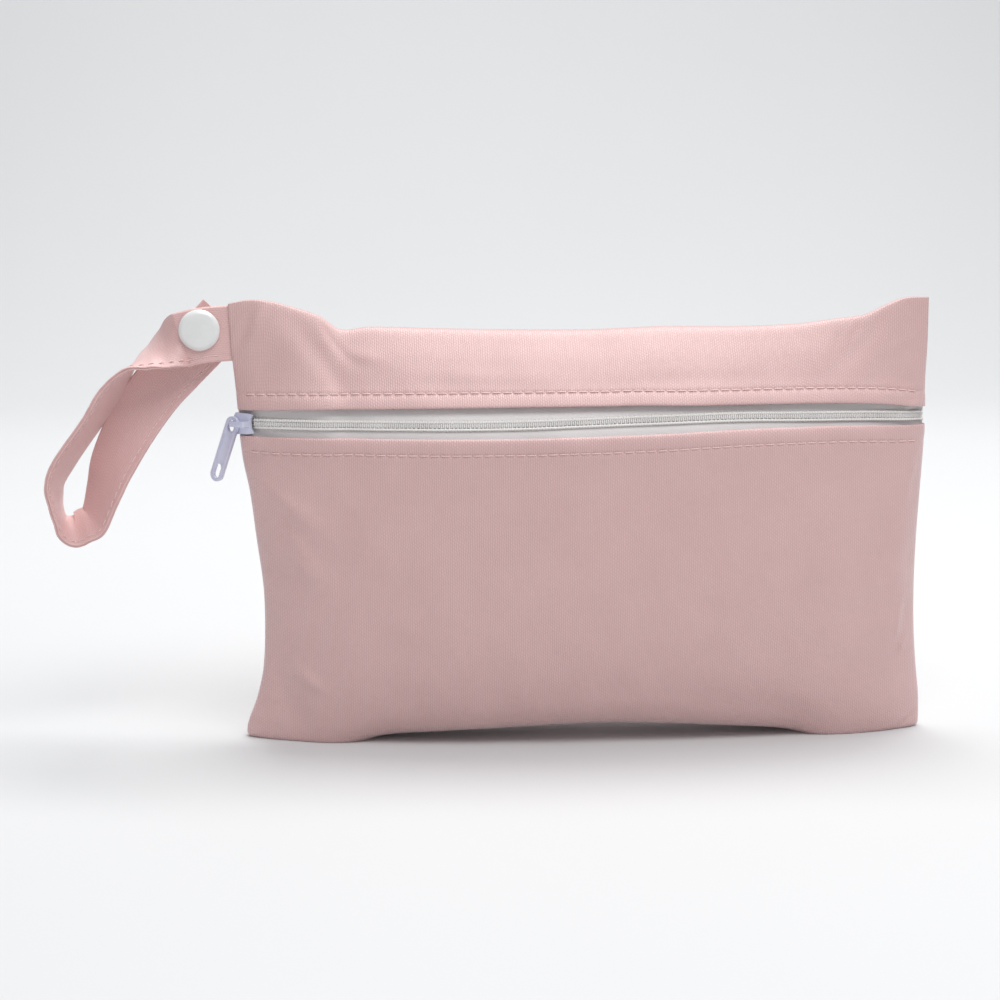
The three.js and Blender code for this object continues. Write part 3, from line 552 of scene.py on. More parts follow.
def cloth_material(name, pattern, sizes, light, deep, relief, groove_shade=0.5, sheen=0.45):
    material, board, shader = new_material(name)
    cloth = board.add("ShaderNodeUVMap", uv_map="cloth").outputs["UV"]
    made = use_group(board, pattern, Cloth=cloth, **sizes)
    tone = use_group(board, mottle_group, Patch=14.0, Fine=0.35)
    # Painted shade: the grooves of the knit or weave take the deeper colour.
    dye_with_groove_shade = board.mix(board.math("MULTIPLY", made["Groove_Shade"], groove_shade), light, deep)
    patch = board.math("MULTIPLY", board.math("ADD", tone["Tone"], tone["Fibre"]), 0.14)
    board.put(board.mix(patch, dye_with_groove_shade, deep), shader.inputs["Base Color"])
    board.put(board.span(tone["Fibre"], 0.3, 0.7, 0.42, 0.58), shader.inputs["Roughness"])
    height = board.math("ADD", made["Height"], board.math("MULTIPLY", tone["Fibre"], 0.5))
    bump = board.add("ShaderNodeBump", {"Height": height, "Distance": relief * MM, "Strength": 1.0})
    board.put(bump.outputs["Normal"], shader.inputs["Normal"])
    shader.inputs["Sheen Weight"].default_value = sheen
    shader.inputs["Sheen Roughness"].default_value = 0.45
    shader.inputs["Sheen Tint"].default_value = (1.0, 0.96, 0.97, 1)
    shader.inputs["Specular IOR Level"].default_value = 0.9
    return material


# %% Pink knit, strap knit and zip tape
knit_cloth = cloth_material("pink_knit", knit_group, {"Rib": 0.66, "Course": 0.5},
                            (0.80, 0.535, 0.515, 1), (0.50, 0.29, 0.28, 1), 0.12, 0.66)
# Painted light: the strap is the same knit as the pouch but is coloured lighter, to lift it where the
# lamps leave it darker.
lightened_strap_cloth = cloth_material("pink_strap_knit", knit_group, {"Rib": 0.6, "Course": 0.5},
                             (0.84, 0.55, 0.53, 1), (0.56, 0.32, 0.305, 1), 0.07, 0.62)
tape_cloth = cloth_material("zip_tape_weave", weave_group, {"Float": 0.5, "Stripe": 1.5},
                            (0.95, 0.93, 0.92, 1), (0.75, 0.71, 0.70, 1), 0.06, 0.5, 0.1)
print("cloth finishes:", knit_cloth.name, lightened_strap_cloth.name, tape_cloth.name)

# %% [markdown]
# ## Thread, coil, paint and plastic
#
# Sewing thread is two twisted plies, so its material has a slanting groove along each stitch. The
# zip's coil is milky nylon that lets a little light through. The slider and its tab are cast
# metal under lilac paint with a clear coat, and the snap is hard glossy plastic. One plain colour
# each would look like wax close up, so all of them carry fine marks or a mottle.

# %% Thread
def thread_material(name, light, deep):
    material, board, shader = new_material(name)
    place = board.add("ShaderNodeUVMap", uv_map="cloth").outputs["UV"]
    along = board.add("ShaderNodeSeparateXYZ", {"Vector": place}).outputs
    twist = board.math("ADD", board.math("MULTIPLY", along["X"], 9.0),
                       board.math("MULTIPLY", along["Y"], math.tau))
    ply = board.span(board.math("SINE", twist), -1.0, 1.0, 0.0, 1.0)
    tone = use_group(board, mottle_group, Patch=5.0, Fine=0.2)
    shade = board.math("MULTIPLY", board.math("ADD", ply, tone["Fibre"]), 0.45)
    board.put(board.mix(shade, light, deep), shader.inputs["Base Color"])
    bump = board.add("ShaderNodeBump", {"Height": ply, "Distance": 0.05 * MM, "Strength": 1.0})
    board.put(bump.outputs["Normal"], shader.inputs["Normal"])
    shader.inputs["Roughness"].default_value = 0.6
    shader.inputs["Sheen Weight"].default_value = 0.3
    return material


pink_thread = thread_material("pink_thread", (0.96, 0.73, 0.70, 1), (0.74, 0.49, 0.47, 1))
white_thread = thread_material("white_thread", (0.93, 0.92, 0.89, 1), (0.78, 0.76, 0.72, 1))
print("threads:", pink_thread.name, white_thread.name)


# %% Coil, paint and snap plastic
def moulded_material(name, light, deep, base, amount, relief, coat=0.0, metal=0.0, milky=0.0):
    material, board, shader = new_material(name)
    marks = use_group(board, marks_group, Base=base, Amount=amount)
    tone = use_group(board, mottle_group, Patch=6.0, Fine=0.5)
    board.put(board.mix(tone["Tone"], light, deep), shader.inputs["Base Color"])
    board.put(marks["Roughness"], shader.inputs["Roughness"])
    height = board.math("ADD", tone["Fibre"], board.math("MULTIPLY", marks["Height"], 0.5))
    bump = board.add("ShaderNodeBump", {"Height": height, "Distance": relief * MM, "Strength": 0.6})
    board.put(bump.outputs["Normal"], shader.inputs["Normal"])
    shader.inputs["Metallic"].default_value = metal
    shader.inputs["Coat Weight"].default_value = coat
    shader.inputs["Coat Roughness"].default_value = 0.12
    shader.inputs["Subsurface Weight"].default_value = milky
    shader.inputs["Subsurface Radius"].default_value = (0.002, 0.002, 0.002)
    shader.inputs["Subsurface Scale"].default_value = 0.5
    return material


coil_nylon = moulded_material("coil_nylon", (0.82, 0.79, 0.775, 1), (0.71, 0.68, 0.665, 1),
                              0.34, 0.2, 0.02, milky=0.2)
lilac_paint = moulded_material("lilac_paint", (0.70, 0.71, 0.86, 1), (0.61, 0.62, 0.79, 1),
                               0.30, 0.25, 0.012, coat=0.7, metal=0.15)
snap_gloss = moulded_material("snap_gloss", (0.86, 0.86, 0.85, 1), (0.80, 0.80, 0.79, 1),
                              0.16, 0.12, 0.008, coat=0.3, milky=0.1)
print("hard finishes:", coil_nylon.name, lilac_paint.name, snap_gloss.name)

# %% Card finish, with painted shade in front
def card_material_with_painted_shade():
    material, board, shader = new_material("matt_card_painted_shade")
    tone = use_group(board, mottle_group, Patch=400.0, Fine=1.5)
    spot = board.add("ShaderNodeTexCoord").outputs["Object"]
    place = board.add("ShaderNodeSeparateXYZ", {"Vector": spot})
    # Painted shade: the card is coloured darker in front of and under the pouch and lighter from 0.6 m
    # behind it, standing in for the shade that the lamps leave on the near card.
    near = board.mix(tone["Tone"], (0.675, 0.68, 0.685, 1), (0.66, 0.665, 0.67, 1))
    far = board.mix(tone["Tone"], (0.80, 0.805, 0.81, 1), (0.785, 0.79, 0.795, 1))
    behind = board.span(place.outputs["Y"], 0.0, 0.6, 0.0, 1.0)
    board.put(board.mix(behind, near, far), shader.inputs["Base Color"])
    bump = board.add("ShaderNodeBump", {"Height": tone["Fibre"], "Distance": 0.02 * MM, "Strength": 0.4})
    board.put(bump.outputs["Normal"], shader.inputs["Normal"])
    shader.inputs["Roughness"].default_value = 0.85
    return material


card.data.materials.append(card_material_with_painted_shade())
print("card finish laid on", card.name)

# %% [markdown]
# ## The pouch
#
# One piece of cloth makes the whole pouch. It starts under the lower hem, comes round the folded
# edge, runs down the front, under the bottom, up the back and over the top to the upper hem.
# Making it as one sheet of rows and columns keeps the folds at top and bottom soft, with no seam
# where the real one has none. The last columns at each side turn in towards each other and leave
# the fine groove of a seam that was sewn inside out and turned.

# %% Rows of the sheet
HEM_RAISE, ROLL = 0.45, 0.72
ROLL_MIDDLE = HEM_RAISE - ROLL


def hem_rows():
    """Distance in from the flap's edge and height above the cloth, from under the hem outwards"""
    under = [(s, -ROLL + ROLL_MIDDLE) for s in (5.2, 3.6, 2.2, 1.2)]
    turns = np.radians([-80, -55, -28, 0, 28, 55, 80])
    roll = [(ROLL - ROLL * math.cos(a), ROLL_MIDDLE + ROLL * math.sin(a)) for a in turns]
    top = [(1.3, 0.47), (2.0, 0.50), (2.8, 0.48), (3.5, 0.40), (4.1, 0.25), (4.5, 0.06), (4.9, -0.10),
           (5.25, 0.02), (5.6, 0.10), (6.2, 0.09), (7.0, 0.04), (8.0, 0.0)]
    return np.array(under + roll + top)


def cloth_columns(count):
    """Across shares that crowd towards the side seams"""
    t = np.linspace(-1, 1, count)
    return 0.3 * (3 * t - t ** 3) / 2 + 0.7 * t


hem = hem_rows()
STITCH_STEP = 3.3


def hem_scallop(across, inward):
    """The cloth dips a little at every stitch and swells between them"""
    near = np.exp(-((inward - HEM) / 1.1) ** 2)[:, None]
    edge = np.exp(-((inward - 0.5) / 1.5) ** 2)[:, None]
    wave = np.cos(math.tau * across * HALF / STITCH_STEP)[None, :]
    slow = drift(across, 0.7, 12)[None, :]
    return near * wave * 0.07 + edge * slow * 0.05


def hem_part(across, flap):
    sign = 1 if flap == "upper" else -1
    distance = sign * (flap_edge(across, flap)[None, :] + hem[:, 0][:, None])
    rise = rise_from_zip(across, distance)
    raised = hem[:, 1][:, None] + hem_scallop(across, hem[:, 0])
    return rise, raised


print("rows in a hem", len(hem))

# %% Lay out the sheet
def plain_part(face, start, end, count, skip_first=True):
    """Rows between two heights, evenly spaced by their angle round the section"""
    share = np.linspace(0, 1, count)[1 if skip_first else 0:, None]
    first, last = (np.arccos(1 - 2 * np.clip(rise, 0, 1)) for rise in (start, end))
    turn = first * (1 - share) + last * share
    return face, (1 - np.cos(turn)) / 2, np.zeros(turn.shape)


def cloth_sheet(across):
    low_rise, low_raised = hem_part(across, "lower")
    high_rise, high_raised = hem_part(across, "upper")
    bottom, top = np.zeros(len(across)), np.ones(len(across))
    face, rise, raised = plain_part("front", top, high_rise[-1], 34)
    parts = [("front", low_rise, low_raised),
             plain_part("front", low_rise[-1], bottom, 66),
             plain_part("back", bottom, top, 84, skip_first=False),
             (face, rise[:-1], raised[:-1]),
             ("front", high_rise[::-1], high_raised[::-1])]
    return np.vstack([cloth_point(face, across[None, :], rise, raised) for face, rise, raised in parts])


def turned_sides(points):
    """Adds the columns that turn in at both side seams"""
    shares = ((0.72, 0.0), (0.42, 0.10), (0.2, 0.4), (0.1, 1.0))
    left = [points[:, 0] * (1, s, 1) + (inward, 0, 0) for s, inward in shares[::-1]]
    right = [points[:, -1] * (1, s, 1) - (inward, 0, 0) for s, inward in shares]
    return np.concatenate([np.stack(left, 1), points, np.stack(right, 1)], 1)


columns = cloth_columns(330)
cloth_points = turned_sides(cloth_sheet(columns))
print("sheet of", cloth_points.shape[0], "rows and", cloth_points.shape[1], "columns")

# %% Sheets with cloth coordinates
def lay_uv(piece, across_mm, along_mm):
    """Cloth coordinates in millimetres, for knit and weave"""
    layer = piece.data.uv_layers.new(name="cloth")
    corner = np.empty(len(piece.data.loops), int)
    piece.data.loops.foreach_get("vertex_index", corner)
    uv = np.stack([np.ravel(across_mm)[corner], np.ravel(along_mm)[corner]], -1)
    layer.data.foreach_set("uv", uv.astype(np.float32).ravel())


def run_lengths(points):
    """How far each row of points lies from the first, measured along the cloth"""
    steps = np.linalg.norm(np.diff(points, axis=0), axis=-1)
    return np.concatenate([np.zeros_like(steps[:1]), np.cumsum(steps, axis=0)])


def sheet_piece(name, points, material):
    """A grid of points in millimetres as a smooth sheet with cloth coordinates"""
    rows, columns = points.shape[:2]
    piece = mesh_piece(name, ((points + MIDDLE) * MM).reshape(-1, 3), grid_faces(rows, columns))
    lay_uv(piece, points[..., 0], run_lengths(points))
    piece.data.materials.append(material)
    return piece


print("once round the cloth", round(float(run_lengths(cloth_points)[-1].max()), 1), "mm")

# %% Pouch cloth
def dress(piece, body, slot, *nodes):
    """The piece rides on its body and may take the place of CAD solids. Its slot is not used"""
    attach(piece, body)
    if nodes:
        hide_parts(*nodes)
    return piece


pouch_cloth = dress(sheet_piece("pouch_cloth", cloth_points, knit_cloth), "pouch", "knit", "outer_cloth")
print("pouch cloth", len(pouch_cloth.data.polygons), "faces")

# %% [markdown]
# ## Stitches
#
# A machine stitch is a short arch of thread that dives into the cloth at both ends. A bump in the
# cloth would do from afar, but a real rod catches the light and throws its own small shadow. One
# arch is made once as a bent rod and then laid along a line, turned to follow the line and the
# face of the cloth there. The two hem rows are 3.3 mm a stitch.

# %% A stitch as a bent rod
ROD_SIDES = 8


def rod(profile, thick):
    """Ring points of a bent rod: along, up and its thickness share at each place"""
    turn = np.linspace(0, math.tau, ROD_SIDES, endpoint=False)
    rings = [[(along, thick / 2 * share * math.cos(a), up + thick / 2 * share * math.sin(a)) for a in turn]
             for along, up, share in profile]
    return np.array(rings)


STITCH = [(-0.5, -0.45, 0.5), (-0.48, -0.12, 0.95), (-0.36, 0.10, 1.0), (-0.15, 0.17, 1.0),
          (0.15, 0.17, 1.0), (0.36, 0.10, 1.0), (0.48, -0.12, 0.95), (0.5, -0.45, 0.5)]
print("stitch rod with", len(STITCH), "rings")

# %% Laying rods along a line
def lay_rods(name, places, along, across, up, shape, material):
    """Copies of one rod shape, each set on its place and its three directions"""
    rings, sides = shape.shape[:2]
    flat = shape.reshape(-1, 3)
    axes = np.stack([along, across, up], 1)
    points = places[:, None, :] + np.einsum("pk,nkc->npc", flat, axes)
    ring, side = np.meshgrid(np.arange(rings - 1), np.arange(sides), indexing="ij")
    after = (side + 1) % sides
    one = np.stack([ring * sides + side, ring * sides + after, (ring + 1) * sides + after,
                    (ring + 1) * sides + side], -1).reshape(-1, 4)
    faces = (one[None] + (np.arange(len(places)) * rings * sides)[:, None, None]).reshape(-1, 4)
    piece = mesh_piece(name, (points.reshape(-1, 3) + MIDDLE) * MM, faces.tolist())
    u = np.tile(shape[..., 0].ravel(), len(places))
    v = np.tile(np.tile(np.arange(sides) / sides, rings), len(places))
    lay_uv(piece, u, v)
    piece.data.materials.append(material)
    return piece


def unit(vectors):
    return vectors / np.maximum(np.linalg.norm(vectors, axis=-1, keepdims=True), 1e-9)


def directions(line, beside):
    """Along, across and up at each point of a line, from a second line beside it"""
    along = unit(np.gradient(line, axis=0))
    up = unit(np.cross(along, unit(beside - line)))
    return along, np.cross(up, along), up


print("one stitch of", len(STITCH) - 1, "bands needs", (len(STITCH) - 1) * ROD_SIDES, "faces")

# %% Hem stitches
STITCH_LONG, STITCH_LOW, HEM_THREAD = 2.7, 0.8, 0.40
LEFT_MARGIN, RIGHT_MARGIN = 4.4, 3.0


def hem_stitches(flap):
    sign = 1 if flap == "upper" else -1
    across = np.arange(-HALF + LEFT_MARGIN, HALF - RIGHT_MARGIN, STITCH_STEP) / HALF
    edge = flap_edge(across, flap)
    rises = [rise_from_zip(across, sign * (edge + HEM + more)[None, :])[0] for more in (0.0, 0.5)]
    line, outer = (cloth_point("front", across, rise, -0.02) for rise in rises)
    along, beside, up = directions(line, outer if flap == "upper" else 2 * line - outer)
    shape = rod([(s * STITCH_LONG, h * STITCH_LOW + 0.06, t) for s, h, t in STITCH], HEM_THREAD)
    piece = lay_rods(f"hem_stitches_{flap}", line, along, beside, up, shape, pink_thread)
    return dress(piece, "pouch", "knit"), len(across)


for flap in ("upper", "lower"):
    piece, count = hem_stitches(flap)
    print(piece.name, count, "stitches")

# %% [markdown]
# ## Zip tapes
#
# The two woven tapes lie under the hems and almost meet under the coil. Flat strips would stick
# out where the cloth bulges. These are thin sheets that follow the cloth at a fixed depth, so the
# same distances from the zip's middle line place them.

# %% Tapes
SEATED, BEHIND_HEM, STEEPEST = 1.5, 0.42, 1.5


def zip_point(across, distance, out):
    """A point of the zip: a hem's thickness inside the cloth, or on the back cloth where it is thin"""
    rise = rise_from_zip(across, distance)
    step = 0.01
    ahead, behind = (half_depth("front", np.clip(across + d, -1, 1), rise) for d in (step, -step))
    slant = np.minimum(np.sqrt(1 + ((ahead - behind) / (2 * step * HALF)) ** 2), STEEPEST)
    deep = half_depth("front", across, rise) - 2 * CLOTH * slant
    deep = np.maximum(deep, half_slit(rise) - CLOTH) - BEHIND_HEM
    low, top = (HEIGHT * look_up(ACROSS, "across", name, across) for name in ("base", "top"))
    z = low + (top - low) * rise + 2 * CLOTH * (1 - 2 * rise) ** 3
    return np.stack(np.broadcast_arrays(side_x(across, rise), -(np.maximum(deep, SEATED) + out), z), -1)


tape_across = np.linspace(-0.995, 0.995, 240)
UNDER_HEM, TAPE_PARTED, TAPE_TURNED_IN = 1.6, 0.12, 0.7


def tape_sheet(flap):
    """From the edge by the coil, which turns in, to a line under the hem"""
    sign = 1 if flap == "upper" else -1
    far = flap_edge(tape_across, flap) + UNDER_HEM
    share = np.array([0, 0.0, 0.1, 0.25, 0.4, 0.55, 0.7, 0.85, 1.0])[:, None]
    distance = sign * (TAPE_PARTED + (far - TAPE_PARTED) * share)
    out = np.array([-TAPE_TURNED_IN] + [0.0] * 8)[:, None]
    return zip_point(tape_across, distance, out)


for flap in ("upper", "lower"):
    tape = sheet_piece(f"tape_{flap}", tape_sheet(flap), tape_cloth)
    dress(tape, "pouch", "zip_tape", f"zip_tape_{flap}")
    print(tape.name, len(tape.data.polygons), "faces")

# %% [markdown]
# ## Coil chain
#
# A coil zip has no separate teeth. Two nylon spirals are sewn to the tapes, and each loop of one
# hooks between two loops of the other. Whole spirals would be mostly hidden. From outside one sees
# a row of narrow bars, a bar every 0.6 mm, and a line of white chain stitch over the outer part
# of each spiral, so only those are made, with the same rods as the stitches.

# %% Bars of the coil
chain_across = np.linspace(SLIDER_ACROSS + 2.2 / HALF, 0.992, 900)


def chain_line(distance, out):
    return zip_point(chain_across, np.full((1, len(chain_across)), distance), out)[0]


def spaced(line, step):
    """Fractional places along a line at an even spacing"""
    run = run_lengths(line)
    return np.interp(np.arange(step / 2, run[-1], step), run, np.arange(len(line)))


def at_places(values, places):
    return np.stack([np.interp(places, np.arange(len(values)), values[:, k]) for k in range(3)], -1)


BAR_STEP, BAR_THICK, BAR_RAISED = 0.62, 0.5, 0.30
chain_middle = chain_line(1e-6, BAR_RAISED)
chain_frame = directions(chain_middle, chain_line(0.5, BAR_RAISED))
bar_places = spaced(chain_middle, BAR_STEP)
BAR = [(-1.72, -0.25, 0.6), (-1.66, -0.05, 1.0), (-1.45, 0.08, 1.0), (-1.0, 0.16, 1.0), (-0.3, 0.2, 1.05),
       (0.25, 0.2, 1.3), (0.55, 0.14, 1.35), (0.72, 0.05, 0.9)]


def coil_bars(side):
    places = bar_places[0 if side > 0 else 1::2]
    along, beside, up = (at_places(part, places) for part in chain_frame)
    shape = rod(BAR, BAR_THICK)
    name = "coil_upper" if side > 0 else "coil_lower"
    return lay_rods(name, at_places(chain_middle, places), beside * -side, along * side, up,
                    shape, coil_nylon)


for side in (1, -1):
    piece = dress(coil_bars(side), "pouch", "zip_coil", *(["zip_chain"] if side > 0 else []))
    print(piece.name, len(piece.data.polygons), "faces")

# %% Chain stitches on the coil
CORD_OUT, CORD_THICK, CORD_STEP, CORD_RAISED, CORD_SKEW = 1.2, 0.86, 0.84, 0.58, 0.2
SEWING = [(-0.66, -0.06, 0.6), (-0.5, 0.05, 0.92), (-0.2, 0.1, 1.0), (0.2, 0.1, 1.0), (0.5, 0.05, 0.92),
          (0.66, -0.06, 0.6)]


def coil_sewing(side):
    line = chain_line(side * CORD_OUT, CORD_RAISED)
    along, beside, up = directions(line, chain_line(side * (CORD_OUT + 0.3), CORD_RAISED))
    places = spaced(line, CORD_STEP)
    shape = rod([(s * CORD_STEP, h, t) for s, h, t in SEWING], CORD_THICK)
    turned_along = unit(at_places(along, places) + CORD_SKEW * side * at_places(beside, places))
    name = "coil_sewing_upper" if side > 0 else "coil_sewing_lower"
    return lay_rods(name, at_places(line, places), turned_along,
                    at_places(beside, places), at_places(up, places), shape, white_thread)


for side in (1, -1):
    piece = dress(coil_sewing(side), "pouch", "zip_coil")
    print(piece.name, len(piece.data.polygons), "faces")

# %% [markdown]
# ## Slider and tab
#
# These two are cast metal, and the CAD part already has their true form, so modelling them again
# would only bring errors. Cast and painted edges are never sharp, though. A copy of each gets
# small rounded edges and stands in for the plain one.

# %% Rounded metal pieces
def softened(node, name, radius):
    """A copy of a CAD piece with rounded edges"""
    piece = bpy.data.objects.new(name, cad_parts[node].data.copy())
    bpy.context.scene.collection.objects.link(piece)
    piece.data.materials.clear()
    weld = piece.modifiers.new("weld", "WELD")
    weld.merge_threshold = 0.000002
    flat = piece.modifiers.new("flat", "DECIMATE")
    flat.decimate_type = "DISSOLVE"
    flat.angle_limit = math.radians(1.0)
    round_edges = piece.modifiers.new("round", "BEVEL")
    round_edges.width = radius * MM
    round_edges.segments = 3
    round_edges.limit_method = "ANGLE"
    round_edges.angle_limit = math.radians(30)
    round_edges.harden_normals = False
    graph = bpy.context.evaluated_depsgraph_get()
    mesh = bpy.data.meshes.new_from_object(piece.evaluated_get(graph))
    piece.modifiers.clear()
    piece.data = mesh
    mesh.polygons.foreach_set("use_smooth", [True] * len(mesh.polygons))
    mesh.materials.append(lilac_paint)
    return piece


slider = dress(softened("slider_body", "slider", 0.16), "pouch", "lilac_metal", "slider_body")
tab = dress(softened("pull_tab", "tab", 0.14), "tab", "lilac_metal", "pull_tab")
print("slider", len(slider.data.polygons), "faces, tab", len(tab.data.polygons), "faces")

# %% [markdown]
# ## Wrist strap
#
# The strap is a strip of the same knit, folded lengthwise and stitched along its open edge. It
# leaves the side seam, turns back on itself and is held by the snap. A curve object with a tilt at
# each point could carry it too, but then the stitches couldn't be placed from the same numbers. So
# a middle line and the lean of the strap's width are tabled from the seam to its free end, and a
# rounded section with two lips at the open edge is drawn along them.

# %% Strap table
STRAP = table(
    "out drop back lean_x lean_z",
    (0.0, 0.0, 0.0, 0.0, 1.0), (0.14, 0.01, 0.0, 0.0, 1.0), (0.265, 0.035, 0.01, 0.0, 0.995),
    (0.36, 0.08, 0.12, 0.06, 0.7), (0.44, 0.115, 0.16, 0.13, 0.4), (0.545, 0.165, 0.2, 0.24, 0.14),
    (0.655, 0.285, 0.2, 0.43, 0.02), (0.765, 0.43, 0.2, 0.38, 0.0), (0.935, 0.64, 0.22, 0.33, -0.08),
    (0.99, 0.745, 0.25, 0.22, -0.08), (0.992, 0.83, 0.32, 0.11, 0.02), (0.982, 0.9, 0.34, 0.02, 0.14),
    (0.955, 0.955, 0.35, -0.09, 0.32), (0.895, 0.98, 0.37, -0.18, 0.44), (0.835, 0.96, 0.42, -0.28, 0.44),
    (0.775, 0.925, 0.52, -0.4, 0.38), (0.72, 0.785, 0.7, -0.62, 0.26), (0.665, 0.645, 0.82, -0.78, 0.3),
    (0.56, 0.47, 0.9, -0.82, 0.45), (0.425, 0.3, 0.97, -0.78, 0.6), (0.29, 0.175, 1.0, -0.76, 0.65),
    (0.155, 0.055, 1.0, -0.76, 0.65), (0.025, -0.065, 1.0, -0.76, 0.65))
STRAP["at"] = np.arange(len(STRAP["out"]), dtype=float)
STRAP_WIDE, STRAP_THICK, STRAP_REACH, STRAP_DROP = 16.8, 1.3, 53.3, 61.0
SNAP_ROOM = 4.6
STACK = STRAP_THICK + SNAP_ROOM
top_left = HEIGHT * float(look_up(ACROSS, "across", "top", np.array(-1.0)))
ANCHOR_Z = top_left - 0.5 - STRAP_WIDE / 2
anchor_rises = np.array([ANCHOR_Z - STRAP_WIDE / 2, ANCHOR_Z, ANCHOR_Z + STRAP_WIDE / 2]) / top_left
ANCHOR_X = float(side_x(np.array(-1.0), anchor_rises).min()) - 0.3


def strap_middle(at):
    out, drop, back = (look_up(STRAP, "at", name, at) for name in ("out", "drop", "back"))
    return np.stack([ANCHOR_X - out * STRAP_REACH, back * STACK, ANCHOR_Z - drop * STRAP_DROP], -1)


print("strap starts at", round(ANCHOR_X, 1), round(ANCHOR_Z, 1), "mm")

# %% Strap section
def strap_section():
    """Closed outline, across and through: one edge is a round fold, the open edge has two lips"""
    face = [(t, 1.0) for t in np.linspace(-0.93, 0.93, 26)]
    fold = [(0.93 + 0.07 * math.sin(a), math.cos(a)) for a in np.linspace(0.3, math.pi - 0.3, 6)]
    lips = [(-0.965, -0.92), (-0.99, -0.6), (-0.985, -0.25), (-0.945, -0.06),
            (-0.945, 0.06), (-0.985, 0.25), (-0.99, 0.6), (-0.965, 0.92)]
    return np.array(face + fold + [(t, -1.0) for t, _ in face[::-1]] + lips)


def strap_frames(at):
    last = STRAP["at"][-1]
    middle = strap_middle(at)
    run = unit(strap_middle(np.minimum(at + 0.1, last)) - strap_middle(np.maximum(at - 0.1, 0)))
    lean_x, lean_z = (look_up(STRAP, "at", name, at) for name in ("lean_x", "lean_z"))
    wide = np.stack([lean_x, np.sqrt(np.maximum(1 - lean_x ** 2 - lean_z ** 2, 0)), lean_z], -1)
    wide = unit(wide - run * np.sum(wide * run, -1, keepdims=True))
    return middle, run, wide, unit(np.cross(wide, run))


print("strap outline with", len(strap_section()), "points")

# %% Strap surface
SEAM_IN = 2.0
STRAP_SEAM = -1 + 2 * SEAM_IN / STRAP_WIDE


def strap_relief(at, t):
    """Puckers along the stitched edge and slow waves over the strap, in millimetres"""
    run = at[:, None] * 8.0
    seam = -0.20 * np.exp(-((t - STRAP_SEAM) / 0.055) ** 2)
    edge = 0.02 * np.exp(-((t + 0.9) / 0.12) ** 2) * np.sin(math.tau * run / 3.0 + 1.0)
    waves = 0.03 * np.sin(math.tau * run / 23 + 2.5 * t) + 0.02 * np.sin(math.tau * run / 11 - 3 * t + 1)
    calm = np.clip((at[:, None] - 2.0) / 2.0, 0, 1) * np.clip((21 - at[:, None]) / 2.0, 0, 1)
    return seam, edge + waves * calm


def strap_points(steps):
    at = np.linspace(0, STRAP["at"][-1], steps)
    middle, run, wide, normal = strap_frames(at)
    section = strap_section()
    t, side = section[:, 0][None, :], section[:, 1][None, :]
    seam, waves = strap_relief(at, t)
    thick = (STRAP_THICK / 2 + seam) * side + waves
    points = middle[:, None] + wide[:, None] * (t * STRAP_WIDE / 2)[..., None]
    points = points + normal[:, None] * thick[..., None]
    into_seam = points[:1].copy()
    into_seam[..., 0] = side_x(np.array(-1.0), into_seam[..., 2] / top_left) + 1.0
    return np.concatenate([into_seam, points, points[-1:]]), t * STRAP_WIDE / 2


strap_sheet, strap_across = strap_points(430)
print("strap sheet", strap_sheet.shape[:2], "points")

# %% Strap piece
def strap_piece(points, across_mm):
    """The sweep as a closed tube, with a flat cap at its free end"""
    rows, columns = points.shape[:2]
    faces = grid_faces(rows - 1, columns)
    i = np.arange(rows - 2)
    faces += np.stack([i * columns + columns - 1, (i + 1) * columns + columns - 1, (i + 1) * columns,
                       i * columns], -1).tolist()
    free_end = list(range(rows * columns - 1, (rows - 1) * columns - 1, -1))
    faces.append(free_end)
    piece = mesh_piece("strap", (points.reshape(-1, 3) + MIDDLE) * MM, faces)
    lay_uv(piece, np.broadcast_to(across_mm, (rows, columns)), run_lengths(points))
    piece.data.materials.append(lightened_strap_cloth)
    return piece


strap = dress(strap_piece(strap_sheet, strap_across), "pouch", "strap_knit", "wrist_strap")
print("strap", len(strap.data.polygons), "faces")

# %% Strap stitches
STRAP_STITCH_STEP, STRAP_STITCH_LONG, STRAP_THREAD = 3.0, 2.3, 0.34


def strap_stitches(side):
    """One row on the strap's face or back, along its open edge"""
    at = np.linspace(0.0, STRAP["at"][-1], 1500)
    middle, run, wide, normal = strap_frames(at)
    seam, waves = strap_relief(at, np.array([[STRAP_SEAM]]))
    lift = side * (STRAP_THICK / 2 + seam[:, 0] - 0.02) + waves[:, 0]
    line = middle + wide * (STRAP_SEAM * STRAP_WIDE / 2) + normal * lift[:, None]
    places = spaced(line, STRAP_STITCH_STEP)[1:-1]
    up = at_places(normal * side, places)
    along = unit(at_places(run, places))
    beside = np.cross(up, along)
    shape = rod([(s * STRAP_STITCH_LONG, h * STITCH_LOW, t) for s, h, t in STITCH], STRAP_THREAD)
    name = "strap_stitches_face" if side > 0 else "strap_stitches_back"
    return lay_rods(name, at_places(line, places), along, beside, up, shape, pink_thread), len(places)


for side in (1, -1):
    piece, count = strap_stitches(side)
    dress(piece, "pouch", "strap_knit")
    print(piece.name, count, "stitches")

# %% [markdown]
# ## Snap
#
# A moulded snap is four turned pieces: a domed cap with a pin at the front, a socket and a stud
# between the two layers of the strap, and a second cap behind. Cylinders joined together would
# leave sharp steps. A turned piece is a profile spun round its axis, so each is one short list of
# radii and heights, with its corners rounded before it is spun.

# %% Turned pieces
SNAP_SHARE, SNAP_RAISED = 0.158, 1.1
SNAP_X = ANCHOR_X - SNAP_SHARE * STRAP_REACH
SNAP_Z = ANCHOR_Z + SNAP_RAISED
SNAP, PIN, BASE, KNOB = 12.4, 2.4, 1.2, 1.3
SPIN_STEPS = 96
FACE = STRAP_THICK / 2 + 0.3


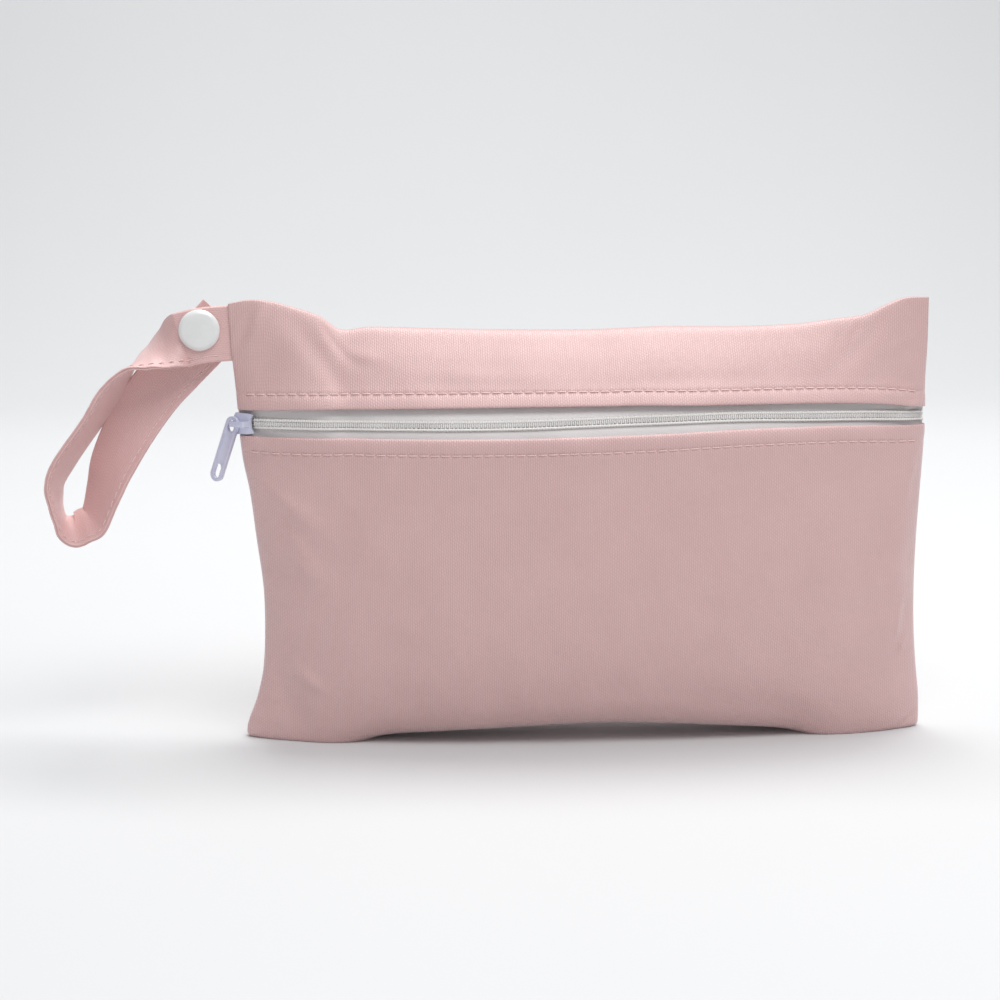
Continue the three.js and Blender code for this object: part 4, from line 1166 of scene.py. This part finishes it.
def rounded(profile, radius, steps=3):
    """Cuts every inner corner of a profile into a small curve"""
    points = [np.array(p, float) for p in profile]
    result = [points[0]]
    for before, here, after in zip(points, points[1:], points[2:]):
        reach = min(radius, np.linalg.norm(before - here) / 2.1, np.linalg.norm(after - here) / 2.1)
        a = here + unit(before - here) * reach
        b = here + unit(after - here) * reach
        result += [(1 - s) ** 2 * a + 2 * s * (1 - s) * here + s * s * b
                   for s in np.linspace(0, 1, steps + 1)]
    return result + [points[-1]]


print("snap's middle at", round(SNAP_X, 1), round(SNAP_Z, 1), "mm")

# %% Spinning a profile
def turned_piece(name, profile, depth, facing, radius):
    """Spins a profile of radius and height round the snap's axis; depth is where its height 0 lies"""
    outline = np.array(rounded(profile, radius))
    turn = np.linspace(0, math.tau, SPIN_STEPS + 1)
    r, h = outline[:, 0][:, None], outline[:, 1][:, None]
    through = np.broadcast_to(depth + facing * h, (len(outline), len(turn)))
    points = np.stack([SNAP_X + r * np.cos(turn), through, SNAP_Z + r * np.sin(turn)], -1)
    piece = mesh_piece(name, ((points + MIDDLE) * MM).reshape(-1, 3), grid_faces(len(outline), len(turn)))
    weld = piece.modifiers.new("weld", "WELD")
    weld.merge_threshold = 0.000002
    graph = bpy.context.evaluated_depsgraph_get()
    piece.data = bpy.data.meshes.new_from_object(piece.evaluated_get(graph))
    piece.modifiers.clear()
    piece.data.materials.append(snap_gloss)
    return piece


print("each profile is spun in", SPIN_STEPS, "steps")

# %% Profiles of the snap
def cap_profile():
    """From the pin's end out over the rim to the crown of the dome"""
    edge = SNAP / 2
    pin_length = STRAP_THICK + 0.6 + BASE * 0.7
    return [(0.0, -pin_length), (PIN / 2, -pin_length), (PIN / 2, -0.22), (edge * 0.92, -0.22),
            (edge * 0.99, 0.1), (edge, 0.4), (edge * 0.97, 0.74), (edge * 0.88, 1.2),
            (edge * 0.8, 1.42), (edge * 0.55, 1.65), (edge * 0.28, 1.76), (0.0, 1.8)]


def ring_profile(disc, inner, outer, low, high, base_low, base_high):
    hole = PIN / 2 + 0.3
    return [(hole, base_low), (disc, base_low), (disc, base_high), (outer, base_high),
            (outer, high), (inner, high), (inner, base_high), (hole, base_high), (hole, base_low)]


def knob_profile(hole, knob, disc):
    return [(hole, 0), (knob, 0), (knob, KNOB), (disc, KNOB), (disc, KNOB + BASE),
            (hole, KNOB + BASE), (hole, 0)]


print("cap profile has", len(cap_profile()), "corners")

# %% The four snap pieces
SNAP_PIECES = [
    ("snap_front", cap_profile(), -FACE, -1, 0.25, "snap_cap_front"),
    ("snap_ring", ring_profile(4.95, 2.9, 4.15, 0, BASE + KNOB, 0, BASE), FACE, 1, 0.12, "snap_socket"),
    ("snap_knob", knob_profile(1.5, 2.6, 5.2), FACE + BASE + 0.3, 1, 0.12, "snap_stud"),
    ("snap_rear", cap_profile(), STACK + FACE, 1, 0.25, "snap_cap_back"),
]
for name, profile, depth, facing, radius, node in SNAP_PIECES:
    piece = dress(turned_piece(name, profile, depth, facing, radius), "pouch", "snap_plastic", node)
    print(piece.name, len(piece.data.polygons), "faces")
